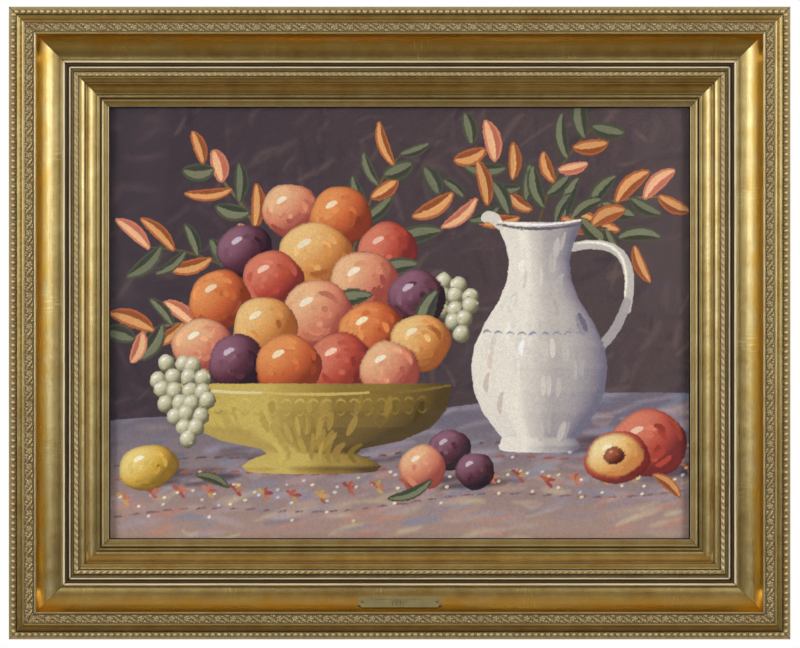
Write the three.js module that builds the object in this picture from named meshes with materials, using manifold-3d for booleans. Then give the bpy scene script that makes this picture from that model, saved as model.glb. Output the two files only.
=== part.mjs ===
// Framed watercolour painting: a wide gilt moulding in four mitred rails round a glazed sheet.
// Millimetres, +Z up. The picture faces -Y and the wall is the plane y = 0.
// The origin is the middle of the hanger's back face, where the frame hangs on the wall.

import * as THREE from "three";
import { ConvexGeometry } from "three/addons/geometries/ConvexGeometry.js";
import { mergeVertices } from "three/addons/utils/BufferGeometryUtils.js";
import Module from "manifold-3d";

// Play between pieces that touch
const GAP = 0.3;

// The picture: a full sheet of paper behind glass, on a board
const SHEET_WIDTH = 609.6;
const SHEET_HEIGHT = 457.2;
const SHEET_THICKNESS = 0.6;
const GLASS_THICKNESS = 2;
const BOARD_THICKNESS = 3;
const SPACER_THICKNESS = 2;
const SPACER_SHOW = 1.3; // the dark line between the gilt and the sheet

// The rabbet that holds them
const LIP_OVERLAP = 6.35; // how far the frame covers the sheet's edge
const RABBET_CLEARANCE = 1.55;
const RABBET_DEPTH = 11;
const LIP_THICKNESS = 2.3;

// The gilt front, from the sight edge out to the wall of the frame.
// across: width seen from the front; rise: out towards the room; bulge: round (+) or hollow (-)
const MOULDINGS = {
  sightEdge: { across: 0.4, rise: 0.5 },
  sightSlope: { across: 4.6, rise: 2.4 },
  sightRound: { across: 2.2, rise: 0.3, bulge: 0.7, facets: 3 },
  sightRoundSide: { across: 0.2, rise: -1.2 },
  sightGroove: { across: 1.4, rise: 0 },
  innerFilletSide: { across: 0.3, rise: 2.2 },
  innerFillet: { across: 2.6, rise: 0 },
  innerQuirkIn: { across: 0.3, rise: -1.6 },
  innerQuirkOut: { across: 0.3, rise: 0.8 },
  innerCove: { across: 10.5, rise: 6.3, bulge: -1.6, facets: 6 },
  innerCoveShelf: { across: 1.5, rise: 0 },
  torusSide: { across: 0.3, rise: 2.2 },
  torus: { across: 5.6, rise: 2.2, bulge: 0.55, facets: 4 },
  torusQuirkIn: { across: 0.3, rise: -1.6 },
  torusQuirkOut: { across: 0.3, rise: 1.4 },
  ornamentSeat: { across: 5.9, rise: -0.4, bulge: 0.6, facets: 3 },
  ornamentSide: { across: 0.2, rise: -1.8 },
  stepGroove: { across: 3, rise: 0 },
  secondFilletSide: { across: 0.2, rise: 3.5 },
  secondFillet: { across: 2.5, rise: 0 },
  filletCove: { across: 2.5, rise: 1, bulge: -2.2, facets: 4 },
  firstFillet: { across: 3.7, rise: 0 },
  firstFilletSide: { across: 0.2, rise: -2.5 },
  bigCove: { across: 24.2, rise: 18.9, bulge: -4.7, facets: 12 },
  coveStep: { across: 0.2, rise: 2.9 },
  leafInnerFillet: { across: 2.1, rise: 0 },
  leafSeatIn: { across: 0.2, rise: -1.8 },
  leafSeat: { across: 9.3, rise: 0 },
  leafSeatOut: { across: 0.2, rise: 1 },
  leafOuterFillet: { across: 2.2, rise: 0 },
  outerCove: { across: 3.8, rise: -8.7, bulge: -1.2, facets: 4 },
  beadFillet: { across: 2.4, rise: 0 },
  beadFilletSide: { across: 0.2, rise: -0.8 },
  beadSeat: { across: 7.8, rise: 0 },
};
const BACK_BEVEL = 3;

// Row of beads along the outer edge
const BEAD_PITCH = 6.5;
const BEAD_RADIUS = 2.8;
const BEAD_HEIGHT = 2.2;
const BEAD_INSET = 4.8; // from the frame's outer wall to the middle of the row
const BEAD_SIDES = 4;

// Running band of paired leaves
const LEAF_PITCH = 15.8;
const LEAF_HEIGHT = 2.6;
const LEAF_SPREAD = 4.5; // from the band's middle to a leaf's shoulder
const LEAF_TIP_SPREAD = 1.2;
const ORNAMENT_SINK = 0.4; // beads and leaves go this far into their seats

// Name plate across the bottom rail's big hollow
const PLATE_WIDTH = 84.7;
const PLATE_HEIGHT = 14.3;
const PLATE_THICKNESS = 1;
const PLATE_FROM_STEP = 3.7; // from the outer end of the hollow to the plate's lower edge
const PLATE_NOTCH = 2.2;
const PIN_FROM_END = 4;
const PIN_HEAD_RADIUS = 1.6;
const PIN_HEAD_HEIGHT = 0.9;
const PIN_SHANK_RADIUS = 0.7;
const PIN_LENGTH = 9;

// Sawtooth hanger, its screws and the bumpers
const HANGER_WIDTH = 76;
const HANGER_HEIGHT = 13;
const HANGER_THICKNESS = 1;
const HANGER_TAB = 13; // flat end that lies on the rail
const HANGER_BEND = 4; // run of the bend between a tab and the raised bar
const HANGER_RISE = 2;
const HANGER_FROM_TOP = 45; // from the frame's top to the hanger's middle
const TOOTH_PITCH = 5;
const TOOTH_DEPTH = 2.5;
const SCREW_HEAD_RADIUS = 2.6;
const SCREW_HEAD_HEIGHT = 1.5;
const SCREW_SHANK_RADIUS = 1.2;
const SCREW_LENGTH = 14;
const BUMPER_RADIUS = 6;
const BUMPER_FROM_SIDE = 60;
const BUMPER_FROM_BOTTOM = 30;

// Framer's points that hold the board in the rabbet
const POINT_WIDTH = 10;
const POINT_THICKNESS = 0.5;
const POINT_SHOWN = 9;
const POINT_DRIVEN = 5;
const POINT_TIP = 3;
const POINT_FROM_CORNER = 120;

// Sizes that follow from them
const SIGHT_WIDTH = SHEET_WIDTH - 2 * LIP_OVERLAP;
const SIGHT_HEIGHT = SHEET_HEIGHT - 2 * LIP_OVERLAP;
const RABBET_WIDTH = LIP_OVERLAP + RABBET_CLEARANCE;
const RAIL_WIDTH = Object.values(MOULDINGS).reduce((sum, part) => sum + part.across, 0);
const BUMPER_THICKNESS = HANGER_RISE + HANGER_THICKNESS;
const STAND_OFF = BUMPER_THICKNESS + GAP;
const FRAME_MIDDLE = HANGER_FROM_TOP - RAIL_WIDTH - SIGHT_HEIGHT / 2;

const wasm = await Module();
wasm.setup();

const GILT = { color: 0xa98a4c, roughness: 0.38, metalness: 0.75 };
const BRASS = { color: 0x80764b, roughness: 0.4, metalness: 0.9 };
const STEEL = { color: 0x9a9c9e, roughness: 0.45, metalness: 0.9 };
const GLASS = { color: 0xf2f6f5, roughness: 0.03, metalness: 0, transparent: true, opacity: 0.12 };
const SPACER = { color: 0x141210, roughness: 0.7, metalness: 0 };
const PAPER = { color: 0xb9a7a0, roughness: 0.9, metalness: 0 };
const BOARD = { color: 0xb49a74, roughness: 0.95, metalness: 0 };
const RUBBER = { color: 0x3a3632, roughness: 0.85, metalness: 0 };

// A closed three.js geometry as a manifold solid.
function solidOf(geometry) {
  const bare = geometry.index ? geometry.toNonIndexed() : geometry.clone();
  bare.deleteAttribute("normal");
  bare.deleteAttribute("uv");
  const merged = mergeVertices(bare, 1e-4);
  const mesh = new wasm.Mesh({
    numProp: 3,
    vertProperties: new Float32Array(merged.attributes.position.array),
    triVerts: new Uint32Array(merged.index.array),
  });
  return new wasm.Manifold(mesh);
}

// A manifold solid as a geometry, with the cuts' leftover points on flat faces dissolved.
function geometryOf(solid) {
  const mesh = solid.asOriginal().getMesh();
  const geometry = new THREE.BufferGeometry();
  geometry.setAttribute("position", new THREE.BufferAttribute(mesh.vertProperties, 3));
  geometry.setIndex(new THREE.BufferAttribute(mesh.triVerts, 1));
  return geometry;
}

function namedMesh(name, geometry, look) {
  const mesh = new THREE.Mesh(geometry, new THREE.MeshStandardMaterial(look));
  mesh.name = name;
  return mesh;
}

// The arc from one point to another with the given bulge; a hollow has its centre on the far side.
function arcBetween([x0, y0], [x1, y1], bulge) {
  const chord = Math.hypot(x1 - x0, y1 - y0);
  const sag = Math.abs(bulge);
  const radius = (chord ** 2 / 4 + sag ** 2) / (2 * sag);
  const reach = (Math.sign(bulge) * (radius - sag)) / chord;
  const centre = [(x0 + x1) / 2 + (y1 - y0) * reach, (y0 + y1) / 2 - (x1 - x0) * reach];
  const from = Math.atan2(y0 - centre[1], x0 - centre[0]);
  const half = Math.asin(Math.min(1, chord / (2 * radius)));
  return { centre, radius, from, turn: -Math.sign(bulge) * 2 * half };
}

function pointOnArc(arc, share) {
  const angle = arc.from + arc.turn * share;
  return [arc.centre[0] + arc.radius * Math.cos(angle), arc.centre[1] + arc.radius * Math.sin(angle)];
}

// The front of the section as [out from the sight edge, up from the back], and where each moulding starts.
function layMouldings() {
  const points = [[0, RABBET_DEPTH + LIP_THICKNESS]];
  const ends = {};
  for (const [name, part] of Object.entries(MOULDINGS)) {
    const start = points.at(-1);
    const end = [start[0] + part.across, start[1] + part.rise];
    ends[name] = { start, end };
    const arc = part.bulge ? arcBetween(start, end, part.bulge) : null;
    for (let k = 1; arc && k < part.facets; k += 1) {
      points.push(pointOnArc(arc, k / part.facets));
    }
    points.push(end);
  }
  return { points, ends };
}

const FRONT = layMouldings();

// Height of a straight moulding's face at a distance out from the sight edge.
function faceHeight(name, out) {
  const { start, end } = FRONT.ends[name];
  return start[1] + ((out - start[0]) * (end[1] - start[1])) / (end[0] - start[0]);
}

// In a rail's own frame x runs along it, z = 0 at the sight edge with the wood at z < 0, and y = 0 at its back.
const SECTION_TO_RAIL = new THREE.Matrix4().makeBasis(
  new THREE.Vector3(0, 0, -1),
  new THREE.Vector3(0, -1, 0),
  new THREE.Vector3(-1, 0, 0),
);

function movedBox(width, depth, height, x, y, z) {
  return new THREE.BoxGeometry(width, depth, height).translate(x, y, z);
}

// The plain moulding, run past both mitres.
function runMoulding(length) {
  const outline = new THREE.Shape();
  outline.moveTo(0, RABBET_DEPTH);
  FRONT.points.forEach(([out, up]) => outline.lineTo(out, up));
  outline.lineTo(RAIL_WIDTH, BACK_BEVEL);
  outline.lineTo(RAIL_WIDTH - BACK_BEVEL, 0);
  outline.lineTo(RABBET_WIDTH, 0);
  outline.lineTo(RABBET_WIDTH, RABBET_DEPTH);
  const run = new THREE.ExtrudeGeometry(outline, { depth: length, bevelEnabled: false, steps: 1 });
  run.translate(0, 0, -length / 2).applyMatrix4(SECTION_TO_RAIL);
  return solidOf(run);
}

// Places of a pattern that divides the run between the mitres evenly, a mitre midway between two.
function evenPlaces(run, pitch) {
  const count = Math.max(1, Math.round(run / pitch));
  return Array.from({ length: count }, (_, k) => ((k + 0.5) / count - 0.5) * run);
}

function beadRow(sightLength) {
  const out = RAIL_WIDTH - BEAD_INSET;
  const seat = faceHeight("beadSeat", out) - ORNAMENT_SINK;
  const rise = BEAD_HEIGHT + ORNAMENT_SINK;
  return evenPlaces(sightLength + 2 * out, BEAD_PITCH).map((x) => {
    const bead = new THREE.ConeGeometry(BEAD_RADIUS, rise, BEAD_SIDES).rotateX(Math.PI);
    return solidOf(bead.translate(x, -seat - rise / 2, -out));
  });
}

// A pair of leaves to each pitch, open like a V, each with its spine raised.
function leafRow(sightLength) {
  const { start, end } = FRONT.ends.leafSeat;
  const middle = (start[0] + end[0]) / 2;
  const run = sightLength + 2 * middle;
  const leaf = (x, side, along, spread, lift) => {
    const out = middle + side * spread;
    return new THREE.Vector3(x + along * LEAF_PITCH, -faceHeight("leafSeat", out) - lift, -out);
  };
  return evenPlaces(run, LEAF_PITCH).flatMap((x) =>
    [-1, 1].map((side) => {
      const root = leaf(x, side, -0.45, 0.3, -ORNAMENT_SINK);
      const shoulder = leaf(x, side, -0.12, LEAF_SPREAD, -ORNAMENT_SINK);
      const tip = leaf(x, side, 0.5, LEAF_TIP_SPREAD, -ORNAMENT_SINK);
      const spine = leaf(x, side, -0.08, LEAF_SPREAD / 2, LEAF_HEIGHT);
      return solidOf(new ConvexGeometry([root, shoulder, tip, spine]));
    }),
  );
}

// The block that keeps what lies between the two mitre cuts, half a gap short of each.
function mitreBlock(sightLength, depth) {
  const short = (GAP / 2) * Math.SQRT2;
  const over = 5;
  const half = (out) => sightLength / 2 + out - short;
  const outline = new THREE.Shape();
  outline.moveTo(-half(-over), over);
  outline.lineTo(half(-over), over);
  outline.lineTo(half(RAIL_WIDTH + over), -RAIL_WIDTH - over);
  outline.lineTo(-half(RAIL_WIDTH + over), -RAIL_WIDTH - over);
  const block = new THREE.ExtrudeGeometry(outline, { depth: depth + 2 * over, bevelEnabled: false });
  return solidOf(block.rotateX(Math.PI / 2).translate(0, over, 0));
}

// The faces of each layer behind the lip, up from the frame's back.
function stackLayers(...thicknesses) {
  let face = RABBET_DEPTH;
  return thicknesses.map((thickness) => {
    const front = face - GAP;
    face = front - thickness;
    return { front, back: face, thickness, middle: (front + face) / 2 };
  });
}

const [GLASS_LAYER, SPACER_LAYER, SHEET_LAYER, BOARD_LAYER, POINT_LAYER] = stackLayers(
  GLASS_THICKNESS,
  SPACER_THICKNESS,
  SHEET_THICKNESS,
  BOARD_THICKNESS,
  POINT_THICKNESS,
);

function pointPlaces(sightLength) {
  const inside = sightLength / 2 + RABBET_WIDTH - POINT_FROM_CORNER;
  return [-inside, inside];
}

function pointSlot(x) {
  const width = POINT_WIDTH + 2 * GAP;
  const depth = POINT_DRIVEN + GAP;
  const thick = POINT_THICKNESS + 2 * GAP;
  const middle = -RABBET_WIDTH - depth / 2 + GAP;
  return solidOf(movedBox(width, thick, depth + 2 * GAP, x, -POINT_LAYER.middle, middle));
}

// A hole along the axis that a matrix carries from +Z, deep enough for a pin of the given length.
function pinHole(matrix, radius, length) {
  const hole = new THREE.CylinderGeometry(radius + GAP, radius + GAP, length + 2 * GAP, 8);
  hole.rotateX(Math.PI / 2).translate(0, 0, GAP - length / 2);
  return solidOf(hole.applyMatrix4(matrix));
}

// One mitred rail with its beads, leaves and point slots, and any further holes.
function buildRail(sightLength, holes = []) {
  const over = 10;
  const length = sightLength + 2 * RAIL_WIDTH + 2 * over;
  const depth = Math.max(...FRONT.points.map(([, up]) => up)) + LEAF_HEIGHT;
  const ornaments = [...beadRow(sightLength), ...leafRow(sightLength)];
  const carved = wasm.Manifold.union([runMoulding(length), ...ornaments]);
  const mitred = carved.intersect(mitreBlock(sightLength, depth));
  const slots = pointPlaces(sightLength).map(pointSlot);
  return geometryOf(wasm.Manifold.difference([mitred, ...slots, ...holes]));
}

// Where the name plate lies: its two long edges on the hollow, its face towards the room and up.
function plateSeat() {
  const { start, end } = FRONT.ends.bigCove;
  const arc = arcBetween(start, end, MOULDINGS.bigCove.bulge);
  const lowerOut = end[0] - PLATE_FROM_STEP;
  const lowerAngle = -Math.acos((lowerOut - arc.centre[0]) / arc.radius);
  const upperAngle = lowerAngle - 2 * Math.asin(PLATE_HEIGHT / (2 * arc.radius));
  const [lower, upper] = [lowerAngle, upperAngle].map((angle) => [
    arc.centre[0] + arc.radius * Math.cos(angle),
    arc.centre[1] + arc.radius * Math.sin(angle),
  ]);
  const slope = Math.atan2(lower[0] - upper[0], lower[1] - upper[1]);
  return new THREE.Matrix4().makeRotationX(slope).setPosition(0, -lower[1], -lower[0]);
}

function pinMatrix(x) {
  const place = new THREE.Matrix4().makeTranslation(x, PLATE_HEIGHT / 2, GAP);
  return plateSeat().multiply(place);
}

const PIN_PLACES = { left: PIN_FROM_END - PLATE_WIDTH / 2, right: PLATE_WIDTH / 2 - PIN_FROM_END };

function circleHole(x, y, radius) {
  return new THREE.Path().absarc(x, y, radius, 0, 2 * Math.PI, true);
}

// The plate's outline has a hollow quarter-round notch at each corner.
function namePlate() {
  const half = PLATE_WIDTH / 2;
  const outline = new THREE.Shape();
  const quarter = Math.PI / 2;
  outline.absarc(-half, 0, PLATE_NOTCH, quarter, 0, true);
  outline.absarc(half, 0, PLATE_NOTCH, 2 * quarter, quarter, true);
  outline.absarc(half, PLATE_HEIGHT, PLATE_NOTCH, -quarter, -2 * quarter, true);
  outline.absarc(-half, PLATE_HEIGHT, PLATE_NOTCH, 0, -quarter, true);
  Object.values(PIN_PLACES).forEach((x) => {
    outline.holes.push(circleHole(x, PLATE_HEIGHT / 2, PIN_SHANK_RADIUS + GAP));
  });
  const plate = { depth: PLATE_THICKNESS, bevelEnabled: false, curveSegments: 3 };
  return new THREE.ExtrudeGeometry(outline, plate).translate(0, 0, GAP);
}

// A round-headed pin or screw along +Z, the underside of its head at z = 0.
function roundHeaded(headRadius, headHeight, shankRadius, length, sides) {
  const tip = 2 * shankRadius;
  const profile = [[0, headHeight], [0.7 * headRadius, 0.75 * headHeight], [headRadius, 0]];
  profile.push([shankRadius, 0], [shankRadius, tip - length], [0, -length]);
  const points = profile.reverse().map(([radius, up]) => new THREE.Vector2(radius, up));
  return new THREE.LatheGeometry(points, sides).rotateX(Math.PI / 2);
}

function buildPlate() {
  const seat = new THREE.Group();
  seat.applyMatrix4(plateSeat());
  seat.add(namedMesh("name_plate", namePlate(), BRASS));
  for (const [side, x] of Object.entries(PIN_PLACES)) {
    const shape = roundHeaded(PIN_HEAD_RADIUS, PIN_HEAD_HEIGHT, PIN_SHANK_RADIUS, PIN_LENGTH, 8);
    const pin = namedMesh(`plate_pin_${side}`, shape, BRASS);
    pin.position.set(x, PLATE_HEIGHT / 2, 2 * GAP + PLATE_THICKNESS);
    seat.add(pin);
  }
  return seat;
}

function plateHoles() {
  return Object.values(PIN_PLACES).map((x) => pinHole(pinMatrix(x), PIN_SHANK_RADIUS, PIN_LENGTH));
}

// The hanger is built about its own middle: x across, z up, y = 0 at the face that meets the wall.
function hangerBar() {
  const half = HANGER_WIDTH / 2;
  const tab = half - HANGER_TAB;
  const bar = tab - HANGER_BEND;
  const edge = [[-half, -HANGER_RISE], [-tab, -HANGER_RISE], [-bar, 0], [bar, 0], [tab, -HANGER_RISE]];
  edge.push([half, -HANGER_RISE]);
  const inner = edge.map(([x, y]) => [x, y - HANGER_THICKNESS]).reverse();
  const outline = new THREE.Shape([...edge, ...inner].map(([x, y]) => new THREE.Vector2(x, y)));
  const strip = new THREE.ExtrudeGeometry(outline, { depth: HANGER_HEIGHT, bevelEnabled: false });
  const teeth = evenPlaces(2 * bar, TOOTH_PITCH).map((x) => toothNotch(x));
  const holes = hangerScrewPlaces().map((x) => {
    const radius = SCREW_SHANK_RADIUS + GAP;
    const hole = new THREE.CylinderGeometry(radius, radius, 4 * STAND_OFF, 10);
    return solidOf(hole.translate(x, 0, 0));
  });
  const plain = solidOf(strip.translate(0, 0, -HANGER_HEIGHT / 2));
  return geometryOf(wasm.Manifold.difference([plain, ...teeth, ...holes]));
}

function toothNotch(x) {
  const low = -HANGER_HEIGHT / 2;
  const half = TOOTH_PITCH * 0.42;
  const outline = new THREE.Shape();
  outline.moveTo(x - half, low - TOOTH_DEPTH * 0.2);
  outline.lineTo(x + half, low - TOOTH_DEPTH * 0.2);
  outline.lineTo(x, low + TOOTH_DEPTH);
  const notch = new THREE.ExtrudeGeometry(outline, { depth: 4 * STAND_OFF, bevelEnabled: false });
  return solidOf(notch.rotateX(Math.PI / 2).translate(0, 2 * STAND_OFF, 0));
}

function hangerScrewPlaces() {
  const place = HANGER_WIDTH / 2 - HANGER_TAB / 2;
  return [-place, place];
}

function buildHanger() {
  const hanger = new THREE.Group();
  hanger.add(namedMesh("hanger", hangerBar(), BRASS));
  hangerScrewPlaces().forEach((x) => {
    const shape = roundHeaded(
      SCREW_HEAD_RADIUS, SCREW_HEAD_HEIGHT, SCREW_SHANK_RADIUS, SCREW_LENGTH, 8,
    );
    const screw = namedMesh(`hanger_screw_${x < 0 ? "left" : "right"}`, shape, STEEL);
    screw.rotation.x = -Math.PI / 2;
    screw.position.set(x, GAP - HANGER_RISE, 0);
    hanger.add(screw);
  });
  return hanger;
}

// Screw holes in the top rail, in that rail's own frame, which is turned half over.
function hangerHoles() {
  const out = RAIL_WIDTH - HANGER_FROM_TOP;
  return hangerScrewPlaces().map((x) => {
    const face = new THREE.Matrix4().makeRotationX(-Math.PI / 2).setPosition(x, GAP, -out);
    return pinHole(face, SCREW_SHANK_RADIUS, SCREW_LENGTH);
  });
}

// A flat steel tongue driven into the rabbet's wall and lying over the board.
function pointShape() {
  const half = POINT_WIDTH / 2;
  const outline = new THREE.Shape();
  outline.moveTo(-half, POINT_SHOWN);
  outline.lineTo(-half, POINT_TIP - POINT_DRIVEN);
  outline.lineTo(0, -POINT_DRIVEN);
  outline.lineTo(half, POINT_TIP - POINT_DRIVEN);
  outline.lineTo(half, POINT_SHOWN);
  const tongue = new THREE.ExtrudeGeometry(outline, { depth: POINT_THICKNESS, bevelEnabled: false });
  return tongue.rotateX(Math.PI / 2).translate(0, POINT_THICKNESS / 2, 0);
}

function spacerStrip(sightLength, butted) {
  const width = LIP_OVERLAP + SPACER_SHOW;
  const length = sightLength + 2 * LIP_OVERLAP - (butted ? 2 * width + 2 * GAP : 0);
  const middle = SPACER_SHOW - width / 2;
  return movedBox(length, SPACER_THICKNESS, width, 0, -SPACER_LAYER.middle, middle);
}

// One side of the frame with what sits in its rabbet, turned into its place round the picture.
function buildSide(name, sightLength, reach, turn, holes, extras = []) {
  const side = new THREE.Group();
  side.rotation.y = turn;
  side.position.set(Math.sin(turn) * -reach, 0, Math.cos(turn) * -reach);
  side.add(namedMesh(`rail_${name}`, buildRail(sightLength, holes), GILT));
  const butted = name === "left" || name === "right";
  side.add(namedMesh(`spacer_${name}`, spacerStrip(sightLength, butted), SPACER));
  pointPlaces(sightLength).forEach((x, k) => {
    const point = namedMesh(`point_${name}_${k + 1}`, pointShape(), STEEL);
    point.position.set(x, -POINT_LAYER.middle, -RABBET_WIDTH);
    side.add(point);
  });
  extras.forEach((extra) => side.add(extra));
  return side;
}

function buildLayer(name, layer, look) {
  const sheet = new THREE.BoxGeometry(SHEET_WIDTH, layer.thickness, SHEET_HEIGHT);
  const mesh = namedMesh(name, sheet, look);
  mesh.position.y = -layer.middle;
  return mesh;
}

function buildBumper(name, x) {
  const round = new THREE.CylinderGeometry(BUMPER_RADIUS, BUMPER_RADIUS * 0.9, BUMPER_THICKNESS, 12);
  const bumper = namedMesh(name, round.rotateX(Math.PI), RUBBER);
  const up = BUMPER_FROM_BOTTOM - RAIL_WIDTH - SIGHT_HEIGHT / 2;
  bumper.position.set(x, GAP + BUMPER_THICKNESS / 2, up);
  return bumper;
}

function buildFrame() {
  const frame = new THREE.Group();
  frame.position.set(0, -STAND_OFF, FRAME_MIDDLE);
  const [wide, tall] = [SIGHT_WIDTH, SIGHT_HEIGHT];
  frame.add(buildSide("bottom", wide, tall / 2, 0, plateHoles(), [buildPlate()]));
  frame.add(buildSide("right", tall, wide / 2, -Math.PI / 2, []));
  frame.add(buildSide("top", wide, tall / 2, Math.PI, hangerHoles()));
  frame.add(buildSide("left", tall, wide / 2, Math.PI / 2, []));
  frame.add(buildLayer("glazing", GLASS_LAYER, GLASS));
  frame.add(buildLayer("watercolour_sheet", SHEET_LAYER, PAPER));
  frame.add(buildLayer("backing_board", BOARD_LAYER, BOARD));
  const bumperX = SIGHT_WIDTH / 2 + RAIL_WIDTH - BUMPER_FROM_SIDE;
  frame.add(buildBumper("bumper_left", -bumperX), buildBumper("bumper_right", bumperX));
  return frame;
}

const picture = new THREE.Group();
picture.add(buildFrame(), buildHanger());

export default picture;
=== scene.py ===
"""Dresses the framed watercolour: gilt mouldings, glazed sheet, name plate, back and soft studio light.

Metres throughout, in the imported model's frame: the picture faces -Y and the wall is the plane y = 0.
"""

from __future__ import annotations

import logging
import math
from collections.abc import Callable
from dataclasses import dataclass, field
from enum import Enum

import bmesh
import bpy
import numpy as np
from bmesh.types import BMEdge, BMesh, BMFace, BMVert
from mathutils import Matrix, Vector

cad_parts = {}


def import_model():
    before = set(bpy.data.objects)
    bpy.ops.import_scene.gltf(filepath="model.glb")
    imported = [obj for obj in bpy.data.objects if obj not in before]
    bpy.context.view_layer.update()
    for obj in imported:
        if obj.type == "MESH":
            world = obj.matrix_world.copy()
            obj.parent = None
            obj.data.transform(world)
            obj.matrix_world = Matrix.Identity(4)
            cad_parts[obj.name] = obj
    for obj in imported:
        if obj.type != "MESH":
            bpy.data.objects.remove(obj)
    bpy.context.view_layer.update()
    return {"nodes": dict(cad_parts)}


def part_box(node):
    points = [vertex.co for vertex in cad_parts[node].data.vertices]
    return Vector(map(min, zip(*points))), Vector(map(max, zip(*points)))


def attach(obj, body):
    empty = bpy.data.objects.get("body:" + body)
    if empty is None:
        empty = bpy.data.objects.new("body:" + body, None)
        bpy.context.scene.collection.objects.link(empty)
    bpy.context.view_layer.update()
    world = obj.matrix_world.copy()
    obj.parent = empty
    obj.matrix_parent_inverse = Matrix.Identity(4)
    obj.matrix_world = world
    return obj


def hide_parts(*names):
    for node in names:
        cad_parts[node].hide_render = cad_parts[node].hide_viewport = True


MM = 0.001
TRACES = ("tone", "run", "out", "wash")
LOG = logging.getLogger("framed_watercolour")


def linear(hex_colour: str) -> tuple[float, float, float, float]:
    """Turn an sRGB hex colour into Blender's linear values.

    Args:
        hex_colour: Six hex digits, such as "d9b45e".

    Returns:
        Linear red, green and blue, with an alpha of one.
    """
    parts = [int(hex_colour[k : k + 2], 16) / 255 for k in (0, 2, 4)]
    flat = [p / 12.92 if p <= 0.04045 else ((p + 0.055) / 1.055) ** 2.4 for p in parts]
    return (*flat, 1.0)


class Turn(Enum):
    """Which side of the picture a rail stands on, as its turn about +Y in quarter turns."""

    BOTTOM = 0
    RIGHT = -1
    TOP = 2
    LEFT = 1


class Skin(Enum):
    """Material slots of a rail, by what the face looks towards."""

    FRONT = 0
    SIDE = 1
    RAW_WOOD = 2


@dataclass(frozen=True)
class Moulding:
    """One straight or curved stretch of the rail's section, in millimetres.

    across is its width seen from the front, rise how far it comes out towards the room, and bulge how far
    it is round (+) or hollow (-). tone runs from 0, deep and dark with glaze and painted shade, to 1, rubbed
    bright with painted highlight.
    """

    name: str
    across: float
    rise: float
    bulge: float = 0.0
    steps: int = 1
    tone: float = 0.6


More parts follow.
